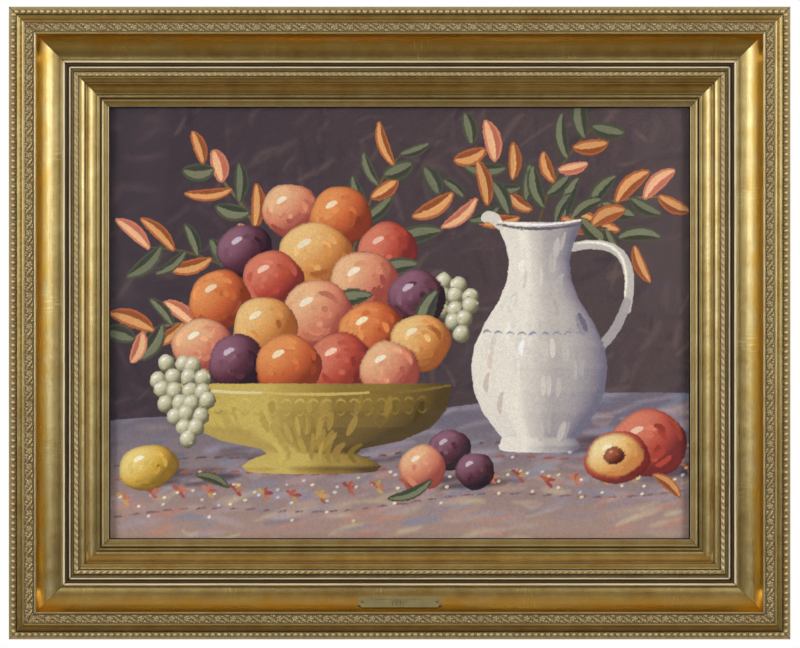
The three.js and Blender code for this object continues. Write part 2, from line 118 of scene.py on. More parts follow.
@dataclass(frozen=True)
class Section:
    """The rail's section from the sight edge out to the frame's wall, in millimetres."""

    lip_front: float = 13.3
    rabbet_depth: float = 11.0
    rabbet_width: float = 7.9
    back_bevel: float = 3.0
    corner: float = 0.28
    wash: float = 0.75
    wash_over: float = 0.1
    # Low tones paint dark glaze with painted shade into the grooves, quirks, coves and the sight slope; high tones
    # paint rubbed leaf with painted highlight onto the fillets and edges
    mouldings: tuple[Moulding, ...] = (
        Moulding("sight edge", 0.4, 0.5, tone=0.9),
        Moulding("sight slope", 4.6, 2.4, -0.45, 8, tone=0.22),
        Moulding("sight round", 2.2, 0.3, 0.7, 10, tone=0.8),
        Moulding("sight round side", 0.2, -1.2, tone=0.1),
        Moulding("sight groove", 1.4, 0.0, tone=0.0),
        Moulding("inner fillet side", 0.3, 2.2, tone=0.2),
        Moulding("inner fillet", 2.6, 0.0, tone=0.55),
        Moulding("inner quirk in", 0.3, -1.6, tone=0.2),
        Moulding("inner quirk out", 0.3, 0.8, tone=0.1),
        Moulding("inner cove", 10.5, 6.3, -1.6, 22, tone=0.75),
        Moulding("inner cove shelf", 1.5, 0.0, tone=0.15),
        Moulding("torus side", 0.3, 2.2, tone=0.1),
        Moulding("torus", 5.6, 2.2, 0.55, 14, tone=0.68),
        Moulding("torus quirk in", 0.3, -1.6, tone=0.1),
        Moulding("torus quirk out", 0.3, 1.4, tone=0.1),
        Moulding("ornament seat", 4.5, -0.3, 0.45, 8, tone=0.35),
        Moulding("ornament side", 0.3, -1.6, tone=0.0),
        Moulding("ornament groove", 0.5, -0.3, tone=0.0),
        Moulding("step flat", 2.2, 0.0, -0.2, 4, tone=0.12),
        Moulding("step groove in", 0.3, -0.6, tone=0.0),
        Moulding("step groove out", 0.3, 0.8, tone=0.1),
        Moulding("second fillet", 1.8, 0.0, 0.3, 6, tone=0.97),
        Moulding("second quirk", 0.8, -1.4, tone=0.0),
        Moulding("fillet cove side", 0.4, 3.4, tone=0.0),
        Moulding("fillet cove", 2.7, 2.3, -0.8, 12, tone=0.02),
        Moulding("first fillet", 2.2, 0.0, 0.3, 8, tone=0.97),
        Moulding("first fillet side", 0.3, -2.3, tone=0.15),
        Moulding("cove foot", 1.9, -0.2, tone=0.32),
        Moulding("big cove", 24.2, 18.9, -4.7, 48, tone=0.7),
        Moulding("cove step", 0.2, 2.9, tone=0.2),
        Moulding("leaf inner fillet", 2.1, 0.0, 0.25, 6, tone=0.8),
        Moulding("leaf seat in", 0.2, -1.8, tone=0.0),
        Moulding("leaf seat", 9.3, 0.0, tone=0.1),
        Moulding("leaf seat out", 0.2, 1.0, tone=0.0),
        Moulding("leaf outer fillet", 2.2, 0.0, 0.3, 6, tone=0.78),
        Moulding("outer cove", 3.8, -8.7, -1.2, 12, tone=0.35),
        Moulding("bead fillet", 2.2, 0.0, tone=0.75),
        Moulding("bead groove in", 0.5, -1.7, tone=0.0),
        Moulding("bead groove out", 0.5, 0.9, tone=0.1),
        Moulding("bead seat", 7.2, 0.0, tone=0.34),
    )

    @property
    def width(self) -> float:
        """Width of the rail, from the sight edge to the frame's wall."""
        return sum(part.across for part in self.mouldings)

    def ends(self, name: str) -> tuple[np.ndarray, np.ndarray]:
        """Find where a moulding starts and ends.

        Args:
            name: The moulding's name.

        Returns:
            Its inner and its outer end, as (out from the sight edge, up from the back).
        """
        at = np.array([0.0, self.lip_front])
        for part in self.mouldings:
            end = at + (part.across, part.rise)
            if part.name == name:
                return at, end
            at = end
        raise ValueError(f"no moulding is named {name}")

    def washed(self, out: float) -> float:
        """Tell how much grey wash lies at a place, given how far out from the sight edge it is."""
        bands = [self.ends(name) for name in ("leaf seat", "ornament seat", "bead seat")]
        over = self.wash_over
        return self.wash if any(inner[0] - over < out < outer[0] + over for inner, outer in bands) else 0.0

    def front(self) -> tuple[np.ndarray, np.ndarray]:
        """Trace the gilt front with its corners eased.

        Returns:
            The points as (out, up), and each point's tone.
        """
        points, tones, sharp = [np.array([0.0, self.lip_front])], [self.mouldings[0].tone], [True]
        end = points[0]
        for part in self.mouldings:
            start, end = end, end + (part.across, part.rise)
            for share in np.linspace(0, 1, part.steps + 1)[1:]:
                points.append(arc_point(start, end, part.bulge, share))
                tones.append(part.tone)
                sharp.append(share == 1)
        return ease_corners(np.array(points), np.array(tones), sharp, self.corner)


def arc_point(start: np.ndarray, end: np.ndarray, bulge: float, share: float) -> np.ndarray:
    """Find a point on the arc between two points.

    Args:
        start: First point.
        end: Last point.
        bulge: Height of the arc over its chord, positive away from the wood.
        share: How far along the arc, from 0 to 1.

    Returns:
        The point.
    """
    chord = end - start
    length = float(np.hypot(*chord))
    if not bulge:
        return start + chord * share
    sag = abs(bulge)
    radius = (length**2 / 4 + sag**2) / (2 * sag)
    half = 2 * math.atan2(2 * sag, length)
    angle = (2 * share - 1) * half
    along = length / 2 + radius * math.sin(angle)
    lift = math.copysign(radius * math.cos(angle) - (radius - sag), bulge)
    direction = chord / length
    normal = np.array([-direction[1], direction[0]])
    return start + direction * along + normal * lift


def ease_corners(
    points: np.ndarray, tones: np.ndarray, sharp: list[bool], radius: float
) -> tuple[np.ndarray, np.ndarray]:
    """Replace each sharp corner of an outline by a short round one.

    Args:
        points: The outline.
        tones: A tone for each point.
        sharp: Whether the point is a corner between two mouldings.
        radius: How far the easing reaches from the corner.

    Returns:
        The eased outline and its tones.
    """
    most, least = 0.45, 0.03
    out_points, out_tones = [points[0]], [tones[0]]
    for k in range(1, len(points) - 1):
        before, at, after = points[k - 1], points[k], points[k + 1]
        reach = min(radius, most * np.hypot(*(before - at)), most * np.hypot(*(after - at)))
        if not sharp[k] or reach < least:
            out_points.append(at)
            out_tones.append(tones[k])
            continue
        into = at + (before - at) / np.hypot(*(before - at)) * reach
        away = at + (after - at) / np.hypot(*(after - at)) * reach
        out_points += [into, (into + 2 * at + away) / 4, away]
        out_tones += [tones[k], (tones[k] + tones[k + 1]) / 2, tones[k + 1]]
    out_points.append(points[-1])
    out_tones.append(tones[-1])
    return np.array(out_points), np.array(out_tones)


class Nodes:
    """The node tree of a material or a world, filled one node at a time."""

    usual = {"Mix": "Result", "TexCoord": "Object", "Attribute": "Fac"}

    def __init__(self, holder: bpy.types.Material | bpy.types.World) -> None:
        """Clear the tree.

        Args:
            holder: The material or world to fill.
        """
        holder.use_nodes = True
        self.holder = holder
        self.tree = holder.node_tree
        self.tree.nodes.clear()

    def add(self, kind: str, links: dict | None = None, take: str = "", **settings) -> bpy.types.NodeSocket | None:
        """Add a node with its settings and links. A Mix node mixes colours.

        Args:
            kind: The node's type name without its ShaderNode prefix.
            links: Input name or index to an output socket, a plain value or a hex colour.
            take: Name of the output to give back, where it isn't the usual one.
            settings: Attributes of the node.

        Returns:
            One output of the new node, or None if it has none.
        """
        node = self.tree.nodes.new("ShaderNode" + kind)
        if kind == "Mix":
            node.data_type = "RGBA"
        for name, value in settings.items():
            setattr(node, name, value)
        for name, value in (links or {}).items():
            socket = node.inputs[name]
            if isinstance(value, bpy.types.NodeSocket):
                self.tree.links.new(value, socket)
            else:
                socket.default_value = linear(value) if isinstance(value, str) else value
        return node.outputs[take or self.usual.get(kind, 0)] if node.outputs else None

    def close(self, kind: str, links: dict) -> bpy.types.Material | bpy.types.World:
        """Add the shader and send it to the output.

        Args:
            kind: The shader's type name without its ShaderNode prefix.
            links: Its inputs.

        Returns:
            The material or world.
        """
        output = "OutputWorld" if isinstance(self.holder, bpy.types.World) else "OutputMaterial"
        self.add(output, {"Surface": self.add(kind, links)})
        return self.holder

    def stretch(self, run: bpy.types.NodeSocket, out: bpy.types.NodeSocket, scales: tuple) -> bpy.types.NodeSocket:
        """Stretch a pattern's place along a rail.

        Args:
            run: Distance along the rail.
            out: Distance out from the sight edge.
            scales: Scale of the pattern along the rail and across it.

        Returns:
            The place.
        """
        along = self.add("Math", {0: run, 1: scales[0]}, operation="MULTIPLY")
        across = self.add("Math", {0: out, 1: scales[1]}, operation="MULTIPLY")
        return self.add("CombineXYZ", {"X": along, "Y": across})


@dataclass(frozen=True)
class GildedFront:
    """Metal leaf over red clay on carved wood, rubbed thin on the edges and toned with umber glaze.

    The eye sees a soft metal with long streaks along the rail, warm clay where the leaf is worn, brown glaze
    with painted shade held in every recess, rubbed pale leaf with painted highlight on the fillets and edges,
    a painted amber reflection at the foot of the big cove and grey wash on the ornament. cove_mm is the big
    cove's middle, out from the sight edge, and half its width.
    """

    leaf: str = "d8be78"
    leaf_warm: str = "b68f45"
    leaf_grey: str = "b1a37c"
    # Rubbed pale leaf, which is also painted highlight on the fillets, edges, bead tops and ornament tips
    rubbed: str = "efe0b8"
    # Painted reflection: the amber of gilt mirrored in gilt, laid at the foot of the big cove
    reflected_amber: str = "f2bd3a"
    lap: str = "ecd283"
    wash: str = "c2af86"
    clay: str = "6d3a1e"
    # Umber glaze, which is also painted shade in the recesses and grooves
    glaze: str = "2a1b0a"
    mottle_mm: float = 22.0
    streak_mm: tuple[float, float] = (70.0, 1.6)
    grain_mm: float = 0.9
    lap_mm: float = 152.0
    lap_shift_mm: float = 22.0
    lap_fade_mm: tuple[float, float] = (16.0, 4.0)
    hatch_scales: tuple[float, float] = (0.55, 0.07)
    cove_mm: tuple[float, float] = (61.0, 12.4)
    reflection_fade_mm: tuple[float, float] = (69.0, 80.0)
    roughness: float = 0.21

    def build(self) -> bpy.types.Material:
        """Make the gilt material.

        Returns:
            The material.
        """
        nodes = Nodes(bpy.data.materials.new("gilded_front"))
        place = nodes.add("TexCoord")
        tone, run, out, washed = (nodes.add("Attribute", attribute_name=name) for name in TRACES)
        mottle = nodes.add(
            "TexNoise", {"Vector": place, "Scale": 1 / (self.mottle_mm * MM), "Detail": 5.0, "Roughness": 0.6}
        )
        grain = nodes.add("TexNoise", {"Vector": place, "Scale": 1 / (self.grain_mm * MM), "Detail": 3.0})
        flow = nodes.stretch(run, out, (1 / self.streak_mm[0], 1 / self.streak_mm[1]))
        streak = nodes.add("TexNoise", {"Vector": flow, "Scale": 1.0, "Detail": 6.0, "Roughness": 0.62})
        # Wear lets the clay through: more on rubbed edges, along the streaks
        worn = nodes.add("Math", {0: streak, 1: 0.35, 2: tone}, operation="MULTIPLY_ADD")
        clay_share = nodes.add("MapRange", {"Value": worn, "From Min": 1.14, "From Max": 1.24, "To Max": 0.55})
        warm_share = nodes.add("MapRange", {"Value": mottle, "From Min": 0.35, "From Max": 0.68, "To Max": 0.75})
        streak_share = nodes.add("MapRange", {"Value": streak, "From Min": 0.42, "From Max": 0.75, "To Max": 0.6})
        # Rubbed leaf on the high tones: real wear together with painted highlight
        rubbed_and_highlight_share = nodes.add("MapRange", {"Value": tone, "From Min": 0.76, "From Max": 0.95, "To Max": 0.85})
        # Painted reflection: the foot of the big cove is coloured amber, where the gilt reflects gilt and the dark
        # room, and stops at the step below the leaf band
        foot = nodes.add("Math", {0: mottle, 1: 16.0, 2: out}, operation="MULTIPLY_ADD")
        low, high = self.reflection_fade_mm
        rising = nodes.add("MapRange", {"Value": foot, "From Min": low, "From Max": high, "To Max": 0.8})
        in_cove = nodes.add("Math", {0: out, 1: self.cove_mm[0], 2: self.cove_mm[1]}, operation="COMPARE")
        reflected_amber_share = nodes.add("Math", {0: rising, 1: in_cove}, operation="MULTIPLY")
        # Where two leaves lap, short brush marks stay bright across the cove
        moved = nodes.add("Math", {0: run, 1: self.lap_shift_mm}, operation="ADD")
        from_lap = nodes.add("Math", {0: moved, 1: self.lap_mm / 2}, operation="PINGPONG")
        far, close = self.lap_fade_mm
        near = nodes.add("MapRange", {"Value": from_lap, "From Min": far, "From Max": close})
        hatch_flow = nodes.stretch(run, out, self.hatch_scales)
        hatch = nodes.add("TexNoise", {"Vector": hatch_flow, "Scale": 1.0, "Detail": 3.0})
        hatched = nodes.add("MapRange", {"Value": hatch, "From Min": 0.55, "From Max": 0.66, "To Max": 0.75})
        lap_share = nodes.add("Math", {0: near, 1: hatched}, operation="MULTIPLY")
        lap_share = nodes.add("Math", {0: lap_share, 1: in_cove}, operation="MULTIPLY")
        # A thin grey-pink wash dulls the ornament
        patchy = nodes.add(
            "MapRange", {"Value": grain, "From Min": 0.35, "From Max": 0.7, "To Min": 0.95, "To Max": 0.5}
        )
        wash_share = nodes.add("Math", {0: washed, 1: patchy}, operation="MULTIPLY")
        # Glaze and painted shade sit in the recesses, with a ragged edge
        ragged = nodes.add("Math", {0: grain, 1: 0.22, 2: tone}, operation="MULTIPLY_ADD")
        glaze_and_shade_share = nodes.add("MapRange", {"Value": ragged, "From Min": 0.52, "From Max": 0.14, "To Max": 0.94})
        colour = self.leaf
        for share, over in (
            (warm_share, self.leaf_warm), (streak_share, self.leaf_grey), (rubbed_and_highlight_share, self.rubbed),
            (reflected_amber_share, self.reflected_amber), (lap_share, self.lap), (clay_share, self.clay), (wash_share, self.wash),
            (glaze_and_shade_share, self.glaze),
        ):
            colour = nodes.add("Mix", {"Factor": share, "A": colour, "B": over})
        covered = nodes.add("Math", {0: glaze_and_shade_share, 1: wash_share}, operation="MAXIMUM")
        covered = nodes.add("Math", {0: covered, 1: rubbed_and_highlight_share}, operation="MAXIMUM")
        metal = nodes.add("MapRange", {"Value": covered, "From Max": 0.95, "To Min": 1.0, "To Max": 0.35})
        dull = nodes.add("MapRange", {"Value": covered, "To Min": self.roughness, "To Max": 0.5})
        rough = nodes.add("Math", {0: streak, 1: 0.16, 2: dull}, operation="MULTIPLY_ADD")
        ripple = nodes.add("Math", {0: mottle, 1: 6.0, 2: grain}, operation="MULTIPLY_ADD")
        relief = nodes.add("Math", {0: streak, 1: 0.8, 2: ripple}, operation="MULTIPLY_ADD")
        bump = nodes.add("Bump", {"Height": relief, "Strength": 0.22, "Distance": 0.25 * MM})
        return nodes.close(
            "BsdfPrincipled", {"Base Color": colour, "Metallic": metal, "Roughness": rough, "Normal": bump}
        )


@dataclass(frozen=True)
class PaintedSide:
    """Ochre casein on the outer wall, thinly bronzed: a matt, slightly scuffed coat."""

    ochre: str = "8d6a34"
    scuff: str = "5a4322"
    scuff_mm: float = 9.0

    def build(self) -> bpy.types.Material:
        """Make the side coat.

        Returns:
            The material.
        """
        nodes = Nodes(bpy.data.materials.new("ochre_side"))
        place = nodes.add("TexCoord")
        cloud = nodes.add(
            "TexNoise", {"Vector": place, "Scale": 1 / (self.scuff_mm * MM), "Detail": 7.0, "Roughness": 0.7}
        )
        share = nodes.add("MapRange", {"Value": cloud, "From Min": 0.48, "From Max": 0.7})
        colour = nodes.add("Mix", {"Factor": share, "A": self.ochre, "B": self.scuff})
        rough = nodes.add("MapRange", {"Value": cloud, "To Min": 0.45, "To Max": 0.75})
        bump = nodes.add("Bump", {"Height": cloud, "Strength": 0.3, "Distance": 0.2 * MM})
        return nodes.close(
            "BsdfPrincipled", {"Base Color": colour, "Metallic": 0.35, "Roughness": rough, "Normal": bump}
        )


@dataclass(frozen=True)
class RawWood:
    """Planed basswood at the back of the rails: pale, with fine grain along each rail."""

    pale: str = "c9a877"
    grain: str = "9a7647"
    stain: str = "6f5230"
    grain_mm: tuple[float, float] = (55.0, 0.8)

    def build(self) -> bpy.types.Material:
        """Make the wood.

        Returns:
            The material.
        """
        nodes = Nodes(bpy.data.materials.new("raw_basswood"))
        place = nodes.add("TexCoord")
        run, out = (nodes.add("Attribute", attribute_name=name) for name in ("run", "out"))
        flow = nodes.stretch(run, out, (1 / self.grain_mm[0], 1 / self.grain_mm[1]))
        fibre = nodes.add("TexNoise", {"Vector": flow, "Scale": 1.0, "Detail": 8.0, "Roughness": 0.6})
        patch = nodes.add("TexNoise", {"Vector": place, "Scale": 14.0, "Detail": 4.0})
        share = nodes.add("MapRange", {"Value": fibre, "From Min": 0.4, "From Max": 0.7})
        wood = nodes.add("Mix", {"Factor": share, "A": self.pale, "B": self.grain})
        stained = nodes.add("MapRange", {"Value": patch, "From Min": 0.5, "From Max": 0.75, "To Max": 0.5})
        colour = nodes.add("Mix", {"Factor": stained, "A": wood, "B": self.stain})
        bump = nodes.add("Bump", {"Height": fibre, "Strength": 0.35, "Distance": 0.15 * MM})
        return nodes.close("BsdfPrincipled", {"Base Color": colour, "Roughness": 0.72, "Normal": bump})


@dataclass(frozen=True)
class Mottled:
    """A plain solid finish with a cloudy second colour and a fine tooth."""

    name: str
    colour: str
    second: str
    cloud_mm: float
    tooth_mm: float
    roughness: float
    metallic: float = 0.0
    tooth: float = 0.3
    share: float = 0.6

    def build(self) -> bpy.types.Material:
        """Make the finish.

        Returns:
            The material.
        """
        nodes = Nodes(bpy.data.materials.new(self.name))
        place = nodes.add("TexCoord")
        cloud = nodes.add(
            "TexNoise", {"Vector": place, "Scale": 1 / (self.cloud_mm * MM), "Detail": 6.0, "Roughness": 0.6}
        )
        tooth = nodes.add("TexNoise", {"Vector": place, "Scale": 1 / (self.tooth_mm * MM), "Detail": 3.0})
        share = nodes.add("MapRange", {"Value": cloud, "From Min": 0.38, "From Max": 0.68, "To Max": self.share})
        colour = nodes.add("Mix", {"Factor": share, "A": self.colour, "B": self.second})
        rough = nodes.add(
            "MapRange", {"Value": tooth, "To Min": self.roughness - 0.08, "To Max": self.roughness + 0.1}
        )
        bump = nodes.add("Bump", {"Height": tooth, "Strength": self.tooth, "Distance": 0.3 * self.tooth_mm * MM})
        return nodes.close(
            "BsdfPrincipled",
            {"Base Color": colour, "Metallic": self.metallic, "Roughness": rough, "Normal": bump},
        )


@dataclass(frozen=True)
class PictureGlass:
    """Clear float glass, 2 mm: seen through almost unchanged, with a faint cool film."""

    tint: str = "0c1011"
    film: float = 0.05

    def build(self) -> bpy.types.Material:
        """Make the glass.

        Returns:
            The material.
        """
        nodes = Nodes(bpy.data.materials.new("clear_picture_glass"))
        material = nodes.close(
            "BsdfPrincipled", {"Base Color": self.tint, "Roughness": 0.02, "IOR": 1.52, "Alpha": self.film}
        )
        material.surface_render_method = "BLENDED"
        return material


@dataclass
class Opening:
    """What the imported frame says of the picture's opening, in metres, its middle in the plane of the rails' backs."""

    width: float
    height: float
    middle: Vector

    @classmethod
    def from_frame(cls) -> Opening:
        """Read the opening from the rails' boxes.

        Returns:
            The opening.
        """
        wide = Section().width * MM
        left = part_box("rail_left")[0].x + wide
        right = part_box("rail_right")[1].x - wide
        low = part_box("rail_bottom")[0].z + wide
        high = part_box("rail_top")[1].z - wide
        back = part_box("rail_bottom")[1].y
        return cls(right - left, high - low, Vector(((left + right) / 2, back, (low + high) / 2)))


def rims(bm: BMesh) -> list[BMEdge]:
    """Find the open edges."""
    return [edge for edge in bm.edges if edge.is_boundary]


def only(kind: type, found: list) -> list:
    """Pick the vertices, edges or faces out of what an operator gives back."""
    return [item for item in found if isinstance(item, kind)]


def add_closed_grid(bm: BMesh, cells: tuple[int, int]) -> None:
    """Add a flat grid one unit square, with a skirt one unit deep and a bottom.

    Args:
        bm: Where it goes.
        cells: How many cells it has each way.
    """
    bmesh.ops.create_grid(bm, x_segments=cells[0], y_segments=cells[1], size=0.5)
    skirt = only(BMVert, bmesh.ops.extrude_edge_only(bm, edges=rims(bm))["geom"])
    bmesh.ops.translate(bm, vec=(0, 0, -1), verts=skirt)
    bmesh.ops.holes_fill(bm, edges=rims(bm))


def into_mesh(bm: BMesh, name: str) -> bpy.types.Mesh:
    """Turn a bmesh into a mesh, and free it.

    Args:
        bm: The bmesh.
        name: The mesh's name.

    Returns:
        The mesh.
    """
    mesh = bpy.data.meshes.new(name)
    bm.to_mesh(mesh)
    bm.free()
    return mesh


def points_of(mesh: bpy.types.Mesh) -> np.ndarray:
    """Read a mesh's points.

    Args:
        mesh: The mesh.

    Returns:
        Its points, one to a row.
    """
    flat = np.empty(len(mesh.vertices) * 3)
    mesh.vertices.foreach_get("co", flat)
    return flat.reshape(-1, 3)


def put(name: str, data: bpy.types.ID) -> bpy.types.Object:
    """Put an object into the scene.

    Args:
        name: Its name.
        data: Its mesh, light or camera.

    Returns:
        The object.
    """
    piece = bpy.data.objects.new(name, data)
    bpy.context.scene.collection.objects.link(piece)
    return piece


def stand_in(mesh: bpy.types.Mesh, node: str) -> bpy.types.Object:
    """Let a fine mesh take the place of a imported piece, on the part's one body.

    Args:
        mesh: The mesh.
        node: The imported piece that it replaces.

    Returns:
        The new piece.
    """
    piece = put(mesh.name, mesh)
    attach(piece, "root")
    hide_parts(node)
    return piece


def dome(x: np.ndarray, y: np.ndarray, radius: float, height: float) -> np.ndarray:
    """Shape a low round boss.

    Args:
        x: Distance from its middle along the band.
        y: Distance from its middle across it.
        radius: Its radius.
        height: Its height.

    Returns:
        Its height at each place, 0 outside it.
    """
    return height * np.sqrt(np.clip(1 - (x**2 + y**2) / radius**2, 0, 1))


def leaf_relief(along: np.ndarray, across: np.ndarray) -> np.ndarray:
    """Carve the running band: a small flower, then a lobed leaf aslant between buds, over and over.

    Args:
        along: Distance along the band, in pitches.
        across: Distance from the band's middle, in millimetres.

    Returns:
        Height over the seat, in millimetres.
    """
    pitch, flower_at, leaf_from, leaf_long = 15.8, 3.7, 5.9, 9.6
    buds = ((8.0, 2.9, 1.5), (10.4, 3.6, 0.95), (13.4, -2.9, 1.5), (11.2, -3.6, 0.95), (0.6, 3.4, 1.0))
    step = (along - np.floor(along)) * pitch
    height = 0.45 + 0.2 * np.sin(2.3 * step + 1.9 * across) * np.cos(1.9 * across - 0.8 * step)
    for shift in (-1, 0, 1):
        local = step + shift * pitch
        x = local - flower_at
        turn = np.arctan2(across, x)
        petals = 3.1 + 0.6 * np.cos(5 * turn + 0.6)
        away = np.hypot(x, across)
        flower = 1.7 * np.sqrt(np.clip(1 - (away / petals) ** 2, 0, 1))
        flower -= 0.8 * np.exp(-(((away - 1.5) / 0.35) ** 2))
        height = np.maximum(height, flower)
        height = np.maximum(height, dome(x, across, 1.25, 2.3))
        share = np.clip((local - leaf_from) / leaf_long, 0.001, 0.999)
        spine = -2.5 * np.cos(math.pi * share)
        half = 1.8 * np.sin(math.pi * share) ** 0.5 * (1 + 0.28 * np.cos(2 * math.pi * 3.5 * share))
        off = (across - spine) / half
        leaf = np.sqrt(np.clip(1 - off**2, 0, 1)) * (1.3 + 0.9 * np.sin(math.pi * share))
        leaf -= 0.6 * np.exp(-((off / 0.22) ** 2)) * (leaf > 0)
        inside = (local > leaf_from) & (local < leaf_from + leaf_long)
        height = np.maximum(height, np.where(inside, leaf, 0))
        for at, side, size in buds:
            height = np.maximum(height, dome(local - at, across - side, size, 0.45 + 0.8 * size))
    return height


def twist_relief(along: np.ndarray, across: np.ndarray) -> np.ndarray:
    """Carve the narrow twisted ribbon inside the fillets.

    Args:
        along: Distance along the band, in pitches.
        across: Distance from the band's middle, in millimetres.

    Returns:
        Height over the seat, in millimetres.
    """
    phase = along + 0.16 * across
    lobe = np.sin(math.pi * phase) ** 2
    bud = np.exp(-(((phase - np.floor(phase) - 0.5) / 0.18) ** 2) - ((across + 0.9) / 0.8) ** 2)
    edge = np.clip(1 - (np.abs(across) / 2.2) ** 4, 0, 1)
    return edge * (0.25 + 0.85 * lobe + 0.35 * bud)


@dataclass(frozen=True)
class ReliefBand:
    """A band of fine carving that lies on one moulding, in millimetres.

    Where the relief is deep it takes low_tone, dark glaze with painted shade, and where it is high, high_tone,
    rubbed leaf with painted highlight.
    """

    moulding: str
    pitch: float
    cell: float
    relief: Callable[[np.ndarray, np.ndarray], np.ndarray]
    deep: float
    high: float
    low_tone: float
    high_tone: float


LEAF_BAND = ReliefBand(
    "leaf seat", pitch=15.8, cell=0.5, relief=leaf_relief, deep=0.35, high=2.0, low_tone=0.1, high_tone=0.86
)
TWIST_BAND = ReliefBand(
    "ornament seat", pitch=6.8, cell=0.5, relief=twist_relief, deep=0.1, high=1.1, low_tone=0.2, high_tone=0.86
)


@dataclass
class Rail:
    """One mitred rail of the gilt moulding, carved finely, in place round the picture."""

    name: str
    turn: Turn
    opening: Opening
    section: Section = field(default_factory=Section)
    mitre_gap: float = 0.1
    mitre_glaze: float = 0.55
    mitre_tone: float = 0.1
    band_root: float = 0.6
    band_sink: float = 0.08
    band_wash: tuple[float, float] = (0.9, 0.4)
    sharp_degrees: float = 38.0
    weld: float = 1e-5
    bead_pitch: float = 6.5
    bead_radius: float = 2.85
    bead_height: float = 2.5
    bead_inset: float = 4.9
    bead_tone: float = 0.95
    bead_wash: tuple[float, float] = (0.8, 0.4)
    overrun: float = 6.0
    bands: tuple[ReliefBand, ...] = (LEAF_BAND, TWIST_BAND)

    @property
    def sight(self) -> float:
        """Length of the rail's sight edge, in millimetres."""
        flat = self.turn in (Turn.TOP, Turn.BOTTOM)
        return (self.opening.width if flat else self.opening.height) / MM

    def moulding(self) -> BMesh:
        """Run the plain moulding past both mitres.

        Returns:
            The moulding, x along it, y from its back to the wall side, z = 0 at the sight edge.
        """
        bm = bmesh.new()
        front, tones = self.section.front()
        wide, bevel = self.section.width, self.section.back_bevel
        back = [(wide, bevel), (wide - bevel, 0.0), (self.section.rabbet_width, 0.0)]
        back += [(self.section.rabbet_width, self.section.rabbet_depth), (0.0, self.section.rabbet_depth)]
        half = self.sight / 2 + wide + self.overrun
        layers = {name: bm.verts.layers.float.new(name) for name in TRACES}
        ring = []
        for (out, up), tone in zip([*front, *back], [*tones, *[0.6] * len(back)]):
            vertex = bm.verts.new((-half, -up, -out))
            vertex[layers["tone"]] = tone
            vertex[layers["wash"]] = self.section.washed(out)
            vertex[layers["out"]] = out
            vertex[layers["run"]] = -half
            ring.append(vertex)
        cap = bm.faces.new(ring)
        far = only(BMVert, bmesh.ops.extrude_face_region(bm, geom=[cap])["geom"])
        bmesh.ops.translate(bm, vec=(2 * half, 0, 0), verts=far)
        for vertex in far:
            vertex[layers["run"]] = half
        return bm

    def band(self, band: ReliefBand) -> bpy.types.Mesh:
        """Carve one relief band along the rail.

        Args:
            band: The band to carve.

        Returns:
            The band as a closed mesh in the rail's frame.
        """
        inner, outer = self.section.ends(band.moulding)
        middle = (inner + outer) / 2
        length = self.sight + 2 * self.section.width
        wide = outer[0] - inner[0]
        bm = bmesh.new()
        for name in TRACES:
            bm.verts.layers.float.new(name)
        add_closed_grid(bm, (round(length / band.cell), round(wide / band.cell)))
        mesh = into_mesh(bm, "band")
        co = points_of(mesh)
        along, across, skirted = co[:, 0] * length, co[:, 1] * wide, co[:, 2] < -0.5
        run = self.sight + 2 * middle[0]
        pitch = run / max(1, round(run / band.pitch))
        height = band.relief(along / pitch + 0.5 * (round(run / band.pitch) % 2), across)
        # Painted shade in the deep relief and painted highlight on its high points, along with glaze and wear
        tone = np.interp(height, [band.deep, band.high], [band.low_tone, band.high_tone])
        out = middle[0] + across
        share = np.clip((out - inner[0]) / wide, 0, 1)
        bulge = next(part.bulge for part in self.section.mouldings if part.name == band.moulding)
        seat = inner[1] + share * (outer[1] - inner[1]) + 4 * bulge * share * (1 - share)
        up = np.where(skirted, seat - self.band_root, seat + height - self.band_sink)
        placed = np.stack([along, -up, -out], axis=1)
        mesh.vertices.foreach_set("co", placed.ravel())
        wash = np.interp(height, [band.deep, band.high], self.band_wash)
        for name, values in zip(TRACES, (tone, along, out, wash)):
            mesh.attributes[name].data.foreach_set("value", values.astype(np.float32))
        return mesh

    def bead(self) -> bpy.types.Mesh:
        """Turn one bead, a low dome of a few dozen faces.

        Returns:
            The bead about its own middle, its top towards -Y.
        """
        bm = bmesh.new()
        for name in TRACES:
            bm.verts.layers.float.new(name)
        tone, wash = bm.verts.layers.float["tone"], bm.verts.layers.float["wash"]
        bmesh.ops.create_uvsphere(bm, u_segments=10, v_segments=7, radius=self.bead_radius)
        bmesh.ops.scale(bm, vec=(1, 1, self.bead_height / self.bead_radius), verts=bm.verts)
        cut = bm.verts[:] + bm.edges[:] + bm.faces[:]
        low = -0.25 * self.bead_height
        bmesh.ops.bisect_plane(bm, geom=cut, plane_co=(0, 0, low), plane_no=(0, 0, -1), clear_outer=True)
        bmesh.ops.holes_fill(bm, edges=rims(bm))
        # Dark glaze with painted shade at each bead's foot, rubbed leaf with painted highlight on its top
        for vertex in bm.verts:
            rise = max(0.0, vertex.co.z / self.bead_height)
            vertex[tone] = self.bead_tone * rise
            vertex[wash] = self.bead_wash[0] - self.bead_wash[1] * rise
        bmesh.ops.rotate(bm, cent=(0, 0, 0), matrix=Matrix.Rotation(math.pi / 2, 3, "X"), verts=bm.verts)
        return into_mesh(bm, "bead")

